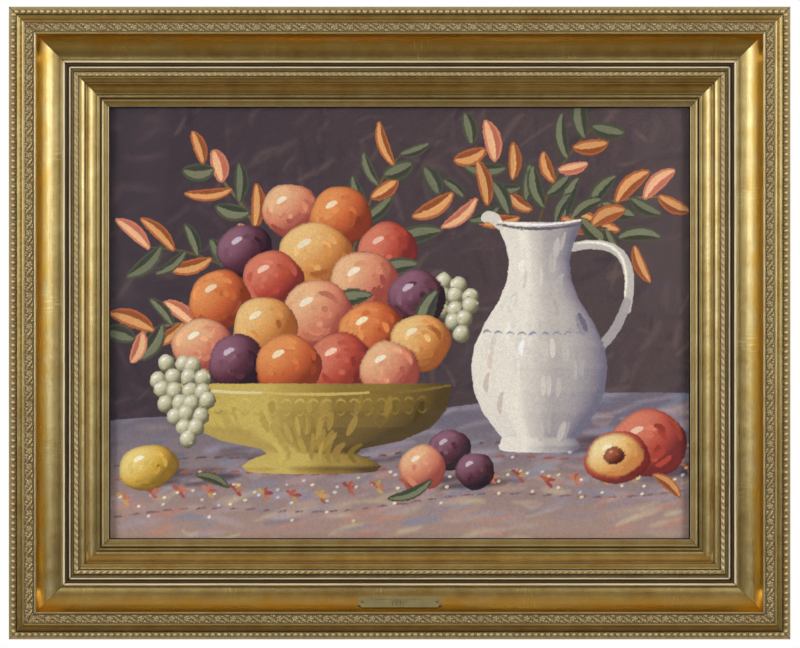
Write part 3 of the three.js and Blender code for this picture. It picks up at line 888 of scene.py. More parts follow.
    def string_beads(self, bm: BMesh) -> None:
        """Set the row of beads on its seat.

        Args:
            bm: The rail so far.
        """
        bead = self.bead()
        out = self.section.width - self.bead_inset
        seat = self.section.ends("bead seat")[0][1]
        run = self.sight + 2 * out
        count = round(run / self.bead_pitch)
        for k in range(count):
            at = ((k + 0.5) / count - 0.5) * run
            known = len(bm.verts)
            bm.from_mesh(bead)
            bm.verts.ensure_lookup_table()
            fresh = bm.verts[known:]
            for vertex in fresh:
                vertex[bm.verts.layers.float["run"]] = at + vertex.co.x
                vertex[bm.verts.layers.float["out"]] = out - vertex.co.z
            bmesh.ops.translate(bm, vec=(at, -seat, -out), verts=fresh)
        bpy.data.meshes.remove(bead)

    def mitre(self, bm: BMesh) -> None:
        """Chop both ends at 45 degrees, half a gap short of the joint, with a line of dark glaze along it.

        Args:
            bm: The rail so far, longer than it should be.
        """
        tone = bm.verts.layers.float["tone"]
        for side in (-1, 1):
            for back in (self.mitre_glaze, 0.0):
                at = (side * (self.sight / 2 - (self.mitre_gap / 2 + back) * math.sqrt(2)), 0, 0)
                cut = bm.verts[:] + bm.edges[:] + bm.faces[:]
                found = bmesh.ops.bisect_plane(
                    bm, geom=cut, dist=self.weld, plane_co=at, plane_no=(side, 0, 1), clear_outer=not back
                )
            for vertex in only(BMVert, found["geom_cut"]):
                vertex[tone] = self.mitre_tone * vertex[tone]
            rim = only(BMEdge, found["geom_cut"])
            bmesh.ops.holes_fill(bm, edges=[edge for edge in rim if edge.is_boundary])

    def skin(self, bm: BMesh) -> None:
        """Say which faces are gilt, side coat and raw wood, and shade them.

        Args:
            bm: The finished rail in its own frame.
        """
        wide, rabbet = self.section.width, self.section.rabbet_width
        for face in bm.faces:
            middle = face.calc_center_median()
            out, up = -middle.z, -middle.y
            end = abs(face.normal.x) > 0.6 and abs(face.normal.z) > 0.6 and abs(face.normal.y) < 0.05
            if out > wide - 0.02:
                face.material_index = Skin.SIDE.value
            elif end or face.normal.y > 0.5 or (up < self.section.rabbet_depth + 0.01 and out < rabbet + 0.1):
                face.material_index = Skin.RAW_WOOD.value
            face.smooth = True

    def build(self, materials: list[bpy.types.Material]) -> bpy.types.Object:
        """Build the rail in place.

        Args:
            materials: Gilt, side coat and raw wood, in that order.

        Returns:
            The rail.
        """
        bm = self.moulding()
        for band in self.bands:
            relief = self.band(band)
            bm.from_mesh(relief)
            bpy.data.meshes.remove(relief)
        self.string_beads(bm)
        self.mitre(bm)
        bmesh.ops.recalc_face_normals(bm, faces=bm.faces)
        self.skin(bm)
        quarter = self.turn.value * math.pi / 2
        upright = self.turn in (Turn.LEFT, Turn.RIGHT)
        reach = (self.opening.width if upright else self.opening.height) / 2
        place = Vector((-math.sin(quarter) * reach, 0, -math.cos(quarter) * reach)) + self.opening.middle
        matrix = Matrix.Translation(place) @ Matrix.Rotation(quarter, 4, "Y") @ Matrix.Scale(MM, 4)
        bmesh.ops.transform(bm, matrix=matrix, verts=bm.verts)
        mesh = into_mesh(bm, self.name + "_gilt")
        mesh.set_sharp_from_angle(angle=math.radians(self.sharp_degrees))
        for material in materials:
            mesh.materials.append(material)
        return stand_in(mesh, self.name)


class LitBy(Enum):
    """Which of the two kinds of surface light a lamp gives."""

    DIFFUSE = 0
    GLOSS = 1


@dataclass(frozen=True)
class Lamp:
    """One of a pair of lamps: its angle off the camera's axis, distance, lift, size, power and use."""

    name: str
    angle: float
    distance: float
    lift: float
    size: tuple[float, float]
    power: float
    lit_by: LitBy
    colour: tuple[float, float, float] = (1.0, 0.98, 0.95)


@dataclass(frozen=True)
class Studio:
    """Plain pale studio: raised soft boxes and reflectors on both sides, a low floor and the camera."""

    camera_distance: float = 9.5
    width_in_view: float = 0.8224
    sensor: float = 0.036
    floor_below: float = 1.32
    floor_radius: float = 11.0
    lamps: tuple[Lamp, ...] = (
        Lamp("soft_box", 54.0, 2.2, 0.5, (0.7, 1.1), 34.0, LitBy.DIFFUSE),
        Lamp("reflector", 35.0, 2.3, 0.31, (2.5, 0.6), 6.0, LitBy.GLOSS, (0.96, 1.0, 1.06)),
        Lamp("strip", 51.0, 2.2, 0.56, (1.15, 1.1), 8.6, LitBy.GLOSS, (0.88, 1.0, 1.4)),
        Lamp("side_panel", 88.0, 1.8, 0.5, (1.5, 1.2), 6.0, LitBy.GLOSS),
    )
    room: tuple[tuple[float, float], ...] = (
        (0.0, 0.16), (0.09, 0.25), (0.22, 0.15), (0.4, 0.06), (0.6, 0.06), (0.75, 0.14), (0.885, 0.38), (1.0, 0.4),
    )
    metal_tint: tuple[float, ...] = (1.2, 0.95, 0.62, 1)
    white: tuple[float, ...] = (1, 1, 1, 1)
    behind: float = 0.85
    camera_shift: tuple[float, float] = (0.0004, -0.0010)

    def place_camera(self, opening: Opening) -> None:
        """Stand the camera straight before the picture.

        Args:
            opening: The picture's opening.
        """
        lens = self.sensor * self.camera_distance / self.width_in_view
        data = bpy.data.cameras.new("camera")
        data.sensor_width = self.sensor / MM
        data.lens = lens / MM
        data.clip_end = 100.0
        camera = put("camera", data)
        aside, up = self.camera_shift
        camera.location = opening.middle + Vector((aside, -self.camera_distance, up))
        camera.rotation_euler = (math.pi / 2, 0, 0)
        bpy.context.scene.camera = camera

    def hang(self, lamp: Lamp, side: int, opening: Opening) -> None:
        """Hang one lamp beside the camera.

        Args:
            lamp: The lamp.
            side: -1 for the left, 1 for the right.
            opening: The picture's opening.
        """
        angle = math.radians(lamp.angle)
        offset = Vector((side * math.sin(angle), -math.cos(angle), 0)) * lamp.distance
        name = f"{lamp.name}_{'left' if side < 0 else 'right'}"
        data = bpy.data.lights.new(name, "AREA")
        data.shape = "RECTANGLE"
        data.size, data.size_y = lamp.size
        data.energy = lamp.power
        data.color = lamp.colour
        light = put(name, data)
        light.location = opening.middle + offset + Vector((0, 0, lamp.lift))
        aim = opening.middle - light.location
        light.rotation_euler = aim.to_track_quat("-Z", "Y").to_euler()
        light.visible_camera = False
        light.visible_diffuse = lamp.lit_by is LitBy.DIFFUSE
        light.visible_glossy = lamp.lit_by is LitBy.GLOSS

    def surround(self) -> None:
        """Give the room its light: white to the camera, soft and brightest at eye level to the metal."""
        world = bpy.data.worlds.new("studio")
        bpy.context.scene.world = world
        nodes = Nodes(world)
        way = nodes.add("TexCoord", take="Generated")
        parts = nodes.add("SeparateXYZ", {0: way}).node.outputs
        ramp = nodes.add("ValToRGB", {"Fac": nodes.add("MapRange", {"Value": parts["Z"], "From Min": -1.0})})
        stops = ramp.node.color_ramp.elements
        for k, (at, value) in enumerate(self.room):
            stop = stops[k] if k < 2 else stops.new(at)
            stop.position = at
            stop.color = (value, value, value, 1)
        ray = nodes.add("LightPath").node.outputs
        glow = nodes.add("Mix", {"Factor": ray["Is Glossy Ray"], "A": self.white, "B": self.metal_tint})
        around = nodes.add("Mix", {"Factor": 1.0, "A": ramp, "B": glow}, blend_type="MULTIPLY")
        behind = nodes.add(
            "MapRange", {"Value": parts["Y"], "From Min": 0.1, "From Max": 0.9, "To Max": self.behind}
        )
        room = nodes.add("Mix", {"Factor": 1.0, "A": around, "B": behind}, blend_type="ADD")
        colour = nodes.add("Mix", {"Factor": ray["Is Camera Ray"], "A": room, "B": self.white})
        nodes.close("Background", {"Color": colour, "Strength": 1.0})

    def lay_floor(self, opening: Opening) -> None:
        """Lay the pale floor well below the picture.

        Args:
            opening: The picture's opening.
        """
        bm = bmesh.new()
        bmesh.ops.create_circle(bm, cap_ends=True, segments=96, radius=self.floor_radius)
        middle = opening.middle - Vector((0, 0, self.floor_below))
        bmesh.ops.translate(bm, vec=middle, verts=bm.verts)
        mesh = into_mesh(bm, "floor")
        mesh.materials.append(Mottled("pale_floor", "ecebe8", "e4e3df", 300.0, 4.0, 0.8, tooth=0.05).build())
        floor = put("floor", mesh)
        floor.visible_glossy = False

    def build(self, opening: Opening) -> None:
        """Set the whole studio up.

        Args:
            opening: The picture's opening.
        """
        bpy.context.scene.view_settings.view_transform = "Standard"
        self.place_camera(opening)
        for lamp in self.lamps:
            self.hang(lamp, -1, opening)
            self.hang(lamp, 1, opening)
        self.surround()
        self.lay_floor(opening)


def tint(hex_colour: str) -> np.ndarray:
    """Give a paint's linear colour as three numbers."""
    return np.array(linear(hex_colour)[:3])


@dataclass(frozen=True)
class Paint:
    """The four mixtures that model one thing: its shadow, its own colour, its light and its sheen."""

    shade: str
    base: str
    light: str
    sheen: str

    def at(self, light: np.ndarray) -> np.ndarray:
        """Mix the paint for how much light falls on a place.

        Args:
            light: Light on each place, from 0 to 1.

        Returns:
            The colour at each place.
        """
        stops = np.stack([tint(name) for name in (self.shade, self.base, self.light)])
        return np.stack([np.interp(light, (0.12, 0.5, 0.9), stops[:, k]) for k in range(3)], axis=-1)


ORANGE = Paint("8a3a22", "d0683a", "ec9a5c", "fbe3c0")
PEACH = Paint("a34d44", "dd8a6c", "f2bf92", "fdeed6")
APRICOT = Paint("a8602f", "e29a55", "f5c987", "fff0cf")
CORAL = Paint("7c2b2a", "bf4f3d", "e0846a", "f6cdb6")
PLUM = Paint("2c1a26", "5e3240", "93667a", "cfc0cf")
PEAR = Paint("6e5e2c", "b8a04e", "e2d28c", "fbf5d4")
LEMON = Paint("937026", "dcb048", "f6dc86", "fffbe0")
GRAPE = Paint("77745a", "c4bf9c", "efeacf", "ffffff")
DISH = Paint("544320", "a1843f", "d2b964", "f6ebb4")
CREAM = Paint("787388", "c9c1bd", "f6f0e4", "ffffff")
FLESH = Paint("d08a4c", "f0bd74", "fbe3a8", "fff6da")
STONE = Paint("4a1f18", "84402c", "b4694a", "dba88c")
LEAF = Paint("2c2e28", "4f5443", "7d8066", "b9bc9c")
RUSSET = Paint("6b3522", "b9693c", "e2a66c", "f8dcb0")


def ball_light(x: np.ndarray | float, y: np.ndarray | float) -> np.ndarray | float:
    """Light on a ball of radius 1, from the upper left."""
    return 0.18 - 0.42 * x + 0.5 * y + 0.42 * np.sqrt(np.clip(1 - x**2 - y**2, 0, 1))


def upright_light(x: np.ndarray | float) -> np.ndarray | float:
    """Light on an upright round of radius 1, from the left."""
    return 0.46 - 0.42 * x + 0.2 * np.sqrt(np.clip(1 - x**2, 0, 1))


@dataclass
class Canvas:
    """Paint on the sheet, a value at each crossing of its grid, in mm from the opening's lower left corner.

    The ground is the table cloth. Over it lie layers, each with a colour and a depth at every crossing: how far
    inside the painted shapes the crossing lies, so that the material can draw their edges finer than the grid.
    """

    across: np.ndarray
    up: np.ndarray
    layers: int = 6
    reach: float = 12.0
    seed: int = 11

    def __post_init__(self) -> None:
        """Start with bare layers."""
        self.random = np.random.default_rng(self.seed)
        shape = (len(self.up), len(self.across))
        self.ground = np.zeros((*shape, 3))
        self.colour = np.zeros((self.layers, *shape, 3))
        self.depth = np.full((self.layers, *shape), -self.reach)

    def window(self, low: np.ndarray, high: np.ndarray) -> tuple[tuple[slice, slice], np.ndarray, np.ndarray]:
        """Find the crossings round a shape.

        Args:
            low: The shape's lower left corner.
            high: The shape's upper right corner.

        Returns:
            Their rows and columns, and their distances across and up.
        """
        margin = 8.0
        left, right = np.searchsorted(self.across, (low[0] - margin, high[0] + margin))
        bottom, top = np.searchsorted(self.up, (low[1] - margin, high[1] + margin))
        u, v = np.meshgrid(self.across[left:right], self.up[bottom:top])
        return (slice(bottom, top), slice(left, right)), u, v

    def lay(self, layer: int, part: tuple[slice, slice], depth: np.ndarray, colour: np.ndarray) -> None:
        """Lay a shape on one layer and wipe what the layers above it hold there.

        Args:
            layer: The layer.
            part: Rows and columns of the shape's window.
            depth: How far inside the shape each crossing lies.
            colour: Its colour, for the whole shape or for each crossing.
        """
        held = self.depth[layer][part]
        take = depth > np.minimum(held, 0)
        self.colour[layer][part][take] = np.broadcast_to(colour, (*depth.shape, 3))[take]
        self.depth[layer][part] = np.maximum(held, depth)
        for above in range(layer + 1, self.layers):
            self.depth[above][part] = np.minimum(self.depth[above][part], -depth)

    def bent(self, points: tuple, width: float, taper: float) -> tuple:
        """Measure a bent brush stroke.

        Args:
            points: Its start, the point it bends towards and its end.
            width: Its greatest width.
            taper: Its width at the ends, as a share of that.

        Returns:
            Its window, the distances across and up, and the depth inside it.
        """
        steps = 8
        share = np.linspace(0, 1, steps + 1)[:, None]
        start, bend, end = (np.array(point, float) for point in points)
        curve = (1 - share) ** 2 * start + 2 * share * (1 - share) * bend + share**2 * end
        part, u, v = self.window(curve.min(0) - width, curve.max(0) + width)
        depth = np.full(u.shape, -self.reach)
        for k in range(steps):
            way = curve[k + 1] - curve[k]
            du, dv = u - curve[k][0], v - curve[k][1]
            along = np.clip((du * way[0] + dv * way[1]) / max(way @ way, 1e-6), 0, 1)
            swell = np.sin(np.pi * (0.04 + 0.92 * (k + along) / steps)) ** 0.6
            half = width / 2 * (taper + (1 - taper) * swell)
            depth = np.maximum(depth, half - np.hypot(du - along * way[0], dv - along * way[1]))
        return part, u, v, depth

    def stroke(self, layer: int, points: tuple, width: float, colour: np.ndarray, taper: float = 0.3) -> None:
        """Lay one bent stroke with a crisp edge.

        Args:
            layer: The layer.
            points: Its start, the point it bends towards and its end.
            width: Its greatest width.
            colour: Its colour.
            taper: Its width at the ends, as a share of the greatest.
        """
        part, _, _, depth = self.bent(points, width, taper)
        self.lay(layer, part, depth, self.vary(colour, 0.06))

    def wash(self, target: np.ndarray, points: tuple, width: float, colour: np.ndarray, strength: float) -> None:
        """Lay one soft stroke into wet paint.

        Args:
            target: The colours that it goes into.
            points: Its start, the point it bends towards and its end.
            width: Its greatest width.
            colour: Its colour.
            strength: How much it covers.
        """
        part, _, _, depth = self.bent(points, width, 0.5)
        share = (np.clip(depth / (0.45 * width), 0, 1) * strength)[..., None]
        target[part] = target[part] * (1 - share) + self.vary(colour, 0.05) * share

    def vary(self, colour: np.ndarray, amount: float) -> np.ndarray:
        """Mix a colour a little lighter or darker, as no two brushfuls are alike."""
        return np.clip(colour * (1 + self.random.normal(0, amount)) + self.random.normal(0, amount / 20, 3), 0, 1)

    def pick(self, names: tuple[str, ...]) -> np.ndarray:
        """Pick one colour of a few."""
        return tint(names[self.random.integers(len(names))])

    def ball(self, layer: int, place: tuple, size: tuple, paint: Paint, turn: float = 0.0, marks: int = 12) -> None:
        """Paint a round fruit, lit from the upper left.

        Args:
            layer: The layer of its body.
            place: Its middle.
            size: Its half width and half height.
            paint: Its paint.
            turn: Its lean in radians.
            marks: How many strokes model it.
        """
        reach = np.full(2, max(size))
        part, u, v = self.window(place - reach, place + reach)
        cos, sin = math.cos(turn), math.sin(turn)
        x = ((u - place[0]) * cos + (v - place[1]) * sin) / size[0]
        y = ((v - place[1]) * cos - (u - place[0]) * sin) / size[1]
        away, angle = np.hypot(x, y), np.arctan2(y, x)
        first, second = self.random.uniform(0, 6.28, 2)
        wobble = 0.025 * np.sin(3 * angle + first) + 0.02 * np.sin(5 * angle + second)
        depth = (1 + wobble - away) * min(size)
        colour = paint.at(np.clip(ball_light(x, y), 0, 1)) * (1 - 0.3 * np.exp(-((depth / 1.8) ** 2)))[..., None]
        self.lay(layer, part, depth, colour)
        for k in range(marks):
            out, start = self.random.uniform(0.2, 0.84), self.random.uniform(0, 6.28)
            spread = self.random.uniform(0.35, 0.85)
            curve = []
            for angle_at, push in ((start, 1.0), (start + spread / 2, 1.1), (start + spread, 1.0)):
                px, py = out * push * math.cos(angle_at) * size[0], out * push * math.sin(angle_at) * size[1]
                curve.append((place[0] + px * cos - py * sin, place[1] + px * sin + py * cos))
            middle = start + spread / 2
            shine = ball_light(out * math.cos(middle), out * math.sin(middle)) + self.random.normal(0, 0.13)
            self.stroke(3 + k % 2, tuple(curve), 0.13 * min(size) + 1.6, paint.at(np.clip(shine, 0, 1)))
        spot = np.array(place) + np.array((-0.3, 0.38)) * size
        dab = np.array((0.13, 0.08)) * size
        self.stroke(5, (spot - dab, spot + (-1, 1), spot + dab), 0.15 * min(size) + 1.2, tint(paint.sheen), 0.5)

    def leaf(self, layer: int, root: tuple, tip: tuple, width: float, paint: Paint, bend: float = 0.18) -> None:
        """Paint a leaf in three strokes: its dark half, its lit half and its rib.

        Args:
            layer: The layer of its dark half.
            root: Where it grows.
            tip: Where it points.
            width: Its width.
            paint: Its paint.
            bend: How far it bends, as a share of its length.
        """
        root, tip = np.array(root, float), np.array(tip, float)
        way = tip - root
        side = np.array((-way[1], way[0]))
        middle = (root + tip) / 2 + side * bend
        shift = side / max(np.hypot(*side), 1e-6) * width * 0.2
        self.stroke(layer, (root, middle, tip), width, tint(paint.base), 0.05)
        self.stroke(3, (root, middle - shift, tip), 0.55 * width, (tint(paint.shade) + tint(paint.base)) / 2, 0.05)
        self.stroke(4, (root, middle + 1.3 * shift, tip), 0.42 * width, tint(paint.light), 0.05)
        if self.random.random() < 0.4:
            self.stroke(5, (root, middle, root + 0.8 * way), 1.7, tint(paint.light) * 1.1, 0.3)

    def turned(self, layer: int, middle: float, outline: tuple, paint: Paint, marks: float = 0.5) -> None:
        """Paint a turned vessel, lit from the left.

        Args:
            layer: The layer of its body.
            middle: Where its axis stands.
            outline: Heights and half widths, from its foot up.
            paint: Its paint.
            marks: How many strokes model it, for each millimetre of its half width.
        """
        heights, halves = np.array(outline).T
        wide = halves.max()
        part, u, v = self.window((middle - wide, heights[0]), (middle + wide, heights[-1]))
        half = np.interp(v, heights, halves)
        flare = np.gradient(half, v[:, 0], axis=0)
        x = (u - middle) / np.maximum(half, 1)
        fall = 3.0 * np.sqrt(np.clip(1 - np.clip(x, -1, 1) ** 2, 0, 1))
        ends = np.minimum(v - heights[0] + fall, heights[-1] - v)
        depth = np.minimum((half - np.abs(u - middle)) / np.hypot(1, np.clip(flare, -2, 2)), ends)
        light = np.clip(upright_light(x) - 0.13 * np.clip(flare, -1.5, 1.5), 0, 1)
        light += 0.3 * np.exp(-(((x + 0.42) / 0.13) ** 2)) - 0.12 * np.exp(-(((x - 0.2) / 0.2) ** 2))
        self.lay(layer, part, depth, paint.at(light))
        for k in range(round(wide * marks)):
            level = self.random.uniform(heights[0] + 8, heights[-1] - 26)
            at = self.random.uniform(-0.86, 0.82)
            curve = []
            for step in (0, 9, 18):
                curve.append((middle + at * float(np.interp(level + step, heights, halves)), level + step))
            if abs(curve[2][0] - curve[0][0]) > 14:
                continue
            shine = np.clip(upright_light(at) + self.random.normal(0, 0.07), 0, 1)
            self.stroke(3 + k % 2, tuple(curve), self.random.uniform(3.5, 8.0), paint.at(shine))


@dataclass
class StillLife:
    """A generic still life of fruit, a footed dish and a cream jug on a pale cloth before a plum-grey wall."""

    canvas: Canvas
    wall_paints: tuple[str, ...] = ("43353d", "4c3d44", "57464c", "3b3038", "604e51", "493f48", "6a5754")
    cloth_paints: tuple[str, ...] = ("8f8796", "8790a8", "a397a9", "b79a9a", "bfa99f", "9c8f9c", "a9a2b2")
    warm_cloth_paints: tuple[str, ...] = ("c2a08f", "c98f7d", "cbb49c", "d4bf9f", "b3948f", "b9a4a8")

    def table(self, across: np.ndarray | float) -> np.ndarray | float:
        """Height of the table's far edge."""
        return 118 + 0.055 * across + 5 * np.sin(across / 70 + 1)

    def paint_cloth(self) -> None:
        """Wash in the cloth: cool and folded at the back, warm and figured in front."""
        canvas, random = self.canvas, self.canvas.random
        rise = np.clip(canvas.up / 120, 0, 1)[:, None, None]
        canvas.ground[:] = tint("b5988c") * (1 - rise) + tint("77707f") * rise
        for _ in range(520):
            u, v = random.uniform(-10, 607), random.uniform(-8, 165)
            warm = random.random() < 0.85 - v / 95
            colour = canvas.pick(self.warm_cloth_paints if warm else self.cloth_paints)
            if u < 90 and v > 60:
                colour = colour * 0.6
            run = random.uniform(14, 46)
            slope = random.normal(0.16, 0.12) * run
            points = ((u, v), (u + run / 2, v + slope / 2 + random.normal(0, 4)), (u + run, v + slope))
            canvas.wash(canvas.ground, points, random.uniform(5, 13), colour, random.uniform(0.35, 0.8))

    def paint_wall(self) -> None:
        """Brush the wall in with short soft strokes, lighter towards the right."""
        canvas, random = self.canvas, self.canvas.random
        u, v = np.meshgrid(canvas.across, canvas.up)
        share = np.clip(u / 620, 0, 1)[..., None]
        wall = canvas.colour[0]
        wall[:] = tint("3e333b") * (1 - share) + tint("574848") * share
        canvas.depth[0] = np.clip(v - self.table(u), -canvas.reach, canvas.reach)
        for _ in range(900):
            u, v = random.uniform(-10, 607), random.uniform(100, 450)
            colour = canvas.pick(self.wall_paints) * (0.86 + 0.34 * u / 600)
            lean, run = random.normal(0.9, 0.7), random.uniform(12, 42)
            end = (u + run * math.cos(lean), v + run * math.sin(lean))
            bend = ((u + end[0]) / 2 + random.normal(0, 4), (v + end[1]) / 2 + random.normal(0, 4))
            canvas.wash(wall, ((u, v), bend, end), random.uniform(5, 14), colour, random.uniform(0.25, 0.7))

    def paint_border(self) -> None:
        """Figure the cloth's border: two broken lines, coral sprigs and cream dots, all of them plain marks."""
        canvas, random = self.canvas, self.canvas.random
        for line, colour, thick in ((74, "6d5663", 2.2), (60, "a5655c", 2.6), (22, "8d6a72", 2.2)):
            for u in np.arange(4, 596, 17.0):
                v = line + 0.05 * u + 5 * math.sin(u / 48)
                canvas.stroke(
                    1, ((u, v), (u + 6, v + 1.5), (u + random.uniform(8, 14), v + 1)), thick, tint(colour)
                )
        for u in np.arange(14, 596, 29.0):
            v = 40 + 0.05 * u + 5 * math.sin(u / 48) + random.normal(0, 2)
            for lean in (-0.9, 0.2, 1.2, 2.3):
                tip = (u + 10 * math.cos(lean), v + 7 * math.sin(lean))
                colour = canvas.pick(("b9604c", "c97e63", "a84f49", "c9a15c"))
                canvas.stroke(1, ((u, v), ((u + tip[0]) / 2, tip[1] + 2), tip), 3.6, colour, 0.1)
            for _ in range(4):
                at = (u + random.normal(12, 8), v + random.normal(0, 13))
                colour = canvas.pick(("efe3cc", "e9d9a8", "d7d2dc"))
                canvas.stroke(2, (at, at, (at[0] + 1.6, at[1] + 0.6)), 2.8, colour, 0.8)

    def paint_shadows(self) -> None:
        """Lay the soft shadows that the things cast to the right on the cloth."""
        canvas, random = self.canvas, self.canvas.random
        for middle, wide, level in ((222, 118, 84), (470, 76, 96), (350, 46, 58), (70, 36, 62), (552, 40, 72)):
            for _ in range(26):
                u = middle + random.uniform(-wide, wide)
                v = level + random.normal(0, 5)
                points = ((u, v), (u + 12, v + 2), (u + 30, v + 3))
                width, colour = random.uniform(6, 11), canvas.pick(("54485a", "665665", "5d4d52"))
                canvas.wash(canvas.ground, points, width, colour, 0.55)

    def paint_branches(self) -> None:
        """Set leafy autumn branches in the jug and behind the fruit."""
        canvas, random = self.canvas, self.canvas.random
        stems = (
            ((438, 318), (430, 372), (372, 408)), ((440, 318), (452, 380), (498, 424)),
            ((445, 318), (500, 352), (566, 352)), ((436, 318), (398, 350), (338, 356)),
            ((150, 262), (96, 300), (40, 300)), ((170, 280), (140, 352), (96, 388)),
            ((250, 290), (262, 352), (300, 396)), ((120, 214), (66, 232), (24, 206)),
            ((448, 318), (470, 350), (540, 300)),
        )
        for number, stem in enumerate(stems):
            canvas.stroke(1, stem, 2.8, canvas.pick(("6b5a3a", "7d7048", "4d4634")), 0.5)
            start, bend, end = (np.array(point, float) for point in stem)
            for k in range(8):
                share = 0.2 + 0.8 * k / 7
                root = (1 - share) ** 2 * start + 2 * share * (1 - share) * bend + share**2 * end
                way = 2 * (1 - share) * (bend - start) + 2 * share * (end - bend)
                lean = math.atan2(way[1], way[0]) + (-1) ** k * random.uniform(0.45, 1.0)
                length = random.uniform(26, 46)
                tip = root + length * np.array((math.cos(lean), math.sin(lean)))
                paint = RUSSET if (number + k) % 3 == 0 else (PEACH if (2 * number + k) % 5 == 0 else LEAF)
                canvas.leaf(1 + k % 2, root, tip, random.uniform(11, 19), paint, (-1) ** k * 0.15)

    def paint_dish(self) -> None:
        """Paint the brass dish in front of its lowest fruit, with a band of plain chasing."""
        canvas = self.canvas
        outline = (
            (70, 66), (75, 72), (82, 62), (88, 46), (93, 52), (101, 92), (114, 122), (132, 138), (152, 143),
            (160, 144),
        )
        canvas.turned(2, 208, outline, DISH)
        for u in np.arange(84, 334, 14.0):
            fall = 8 * math.sqrt(max(0.0, 1 - ((u - 208) / 143) ** 2))
            level = 150 - fall
            colour = DISH.at(np.array(0.95 - 0.45 * abs(u - 165) / 130))
            canvas.stroke(4, ((u - 5, level - 2), (u, level + 5), (u + 5, level - 2)), 2.4, colour)
            canvas.stroke(3, ((u - 4, level - 12), (u, level - 18), (u + 4, level - 11)), 2.2, colour * 0.8)
        for start, end, colour in ((-143, -50, "f1e6b0"), (-50, 60, "d6bd6c"), (60, 142, "8a6f38")):
            drop = [160 - 10 * math.sqrt(max(0.0, 1 - (at / 144) ** 2)) for at in (start, (start + end) / 2, end)]
            points = ((208 + start, drop[0]), (208 + (start + end) / 2, drop[1] - 3), (208 + end, drop[2]))
            canvas.stroke(5, points, 3.2, tint(colour), 0.5)

    def paint_fruit(self) -> None:
        """Heap the fruit in the dish, from the back to the front."""
        heap = (
            (186, 338, 29, PEACH), (238, 332, 32, ORANGE), (140, 296, 29, PLUM), (286, 296, 31, CORAL),
            (212, 290, 38, APRICOT), (168, 266, 32, CORAL), (262, 262, 36, PEACH), (114, 246, 32, ORANGE),
            (316, 248, 30, PLUM), (214, 230, 38, PEACH), (160, 218, 33, APRICOT), (270, 212, 34, ORANGE),
            (96, 198, 31, PEACH), (320, 202, 31, APRICOT), (132, 182, 30, PLUM), (238, 180, 34, CORAL),
            (184, 178, 34, ORANGE), (288, 174, 31, PEACH),
        )
        canvas = self.canvas
        for k, (u, v, radius, paint) in enumerate(heap):
            if k in (3, 6, 9, 13):
                lean = 0.4 + 0.9 * (k % 3)
                canvas.leaf(1, (u, v), (u + 58 * math.cos(lean), v + 54 * math.sin(lean)), 20, LEAF)
            canvas.ball(1 + k % 2, (u, v), (radius, radius * 0.95), paint, 0.1 * (k % 4), 16)

    def paint_grapes(self, place: tuple[float, float], rows: tuple[int, ...], paint: Paint) -> None:
        """Hang a bunch of grapes.

        Args:
            place: Where its top row is centred.
            rows: How many grapes each row has, from the top.
            paint: Its paint.
        """
        random = self.canvas.random
        for level, count in enumerate(rows):
            for k in range(count):
                u = place[0] + (k - (count - 1) / 2) * 14.5 + random.normal(0, 1.5) + 2 * level
                v = place[1] - 12.5 * level + random.normal(0, 1.5)
                self.canvas.ball(1 + (k + level) % 2, (u, v), (8.6, 9.2), paint, 0.0, 3)

    def paint_jug(self) -> None:
        """Paint the cream jug with its lip and handle."""
        canvas = self.canvas
        canvas.stroke(1, ((474, 300), (548, 318), (532, 236)), 10, tint("cfc8c2"), 0.8)
        canvas.stroke(2, ((532, 244), (520, 204), (492, 190)), 10, tint("b4adb0"), 0.8)
        canvas.stroke(4, ((480, 304), (540, 314), (530, 250)), 3, tint("f6f1e6"), 0.5)
        outline = (
            (92, 40), (96, 42), (104, 38), (114, 46), (130, 58), (152, 67), (176, 70), (198, 67), (222, 56),
            (246, 41), (266, 33), (286, 31), (304, 35), (320, 42), (326, 44),
        )
        canvas.turned(2, 442, outline, CREAM)
        canvas.stroke(2, ((402, 322), (392, 336), (386, 330)), 12, tint("e9e3d8"), 0.6)
        canvas.stroke(4, ((398, 324), (440, 314), (484, 324)), 3.2, tint("6f6672"), 0.4)
        canvas.stroke(5, ((400, 327), (440, 319), (484, 328)), 2.4, tint("fdfaf2"), 0.5)
        for u, v, run, colour in (
            (392, 176, 8, "e6d6c8"), (388, 152, 9, "e0cec0"), (402, 130, 10, "dccabd"), (410, 206, 8, "f7f3ea"),
            (414, 236, 6, "fbf8f0"), (424, 276, 5, "fbf8f0"), (486, 168, 8, "b4aeb4"), (478, 128, 10, "b0a9af"),
            (476, 208, 7, "b7b2b6"), (464, 262, 5, "b4afb4"), (452, 110, 14, "bfb6b4"), (424, 190, 7, "ffffff"),
        ):
            canvas.stroke(4, ((u, v), (u - 3, v + run), (u + 2, v + 2 * run)), 5.5, tint(colour))
        for u in np.arange(388, 500, 12.0):
            fall = 6 * math.sqrt(max(0.0, 1 - ((u - 442) / 70) ** 2))
            canvas.stroke(3, ((u - 4, 216 - fall), (u, 221 - fall), (u + 4, 216 - fall)), 2.2, tint("8f93ad"))

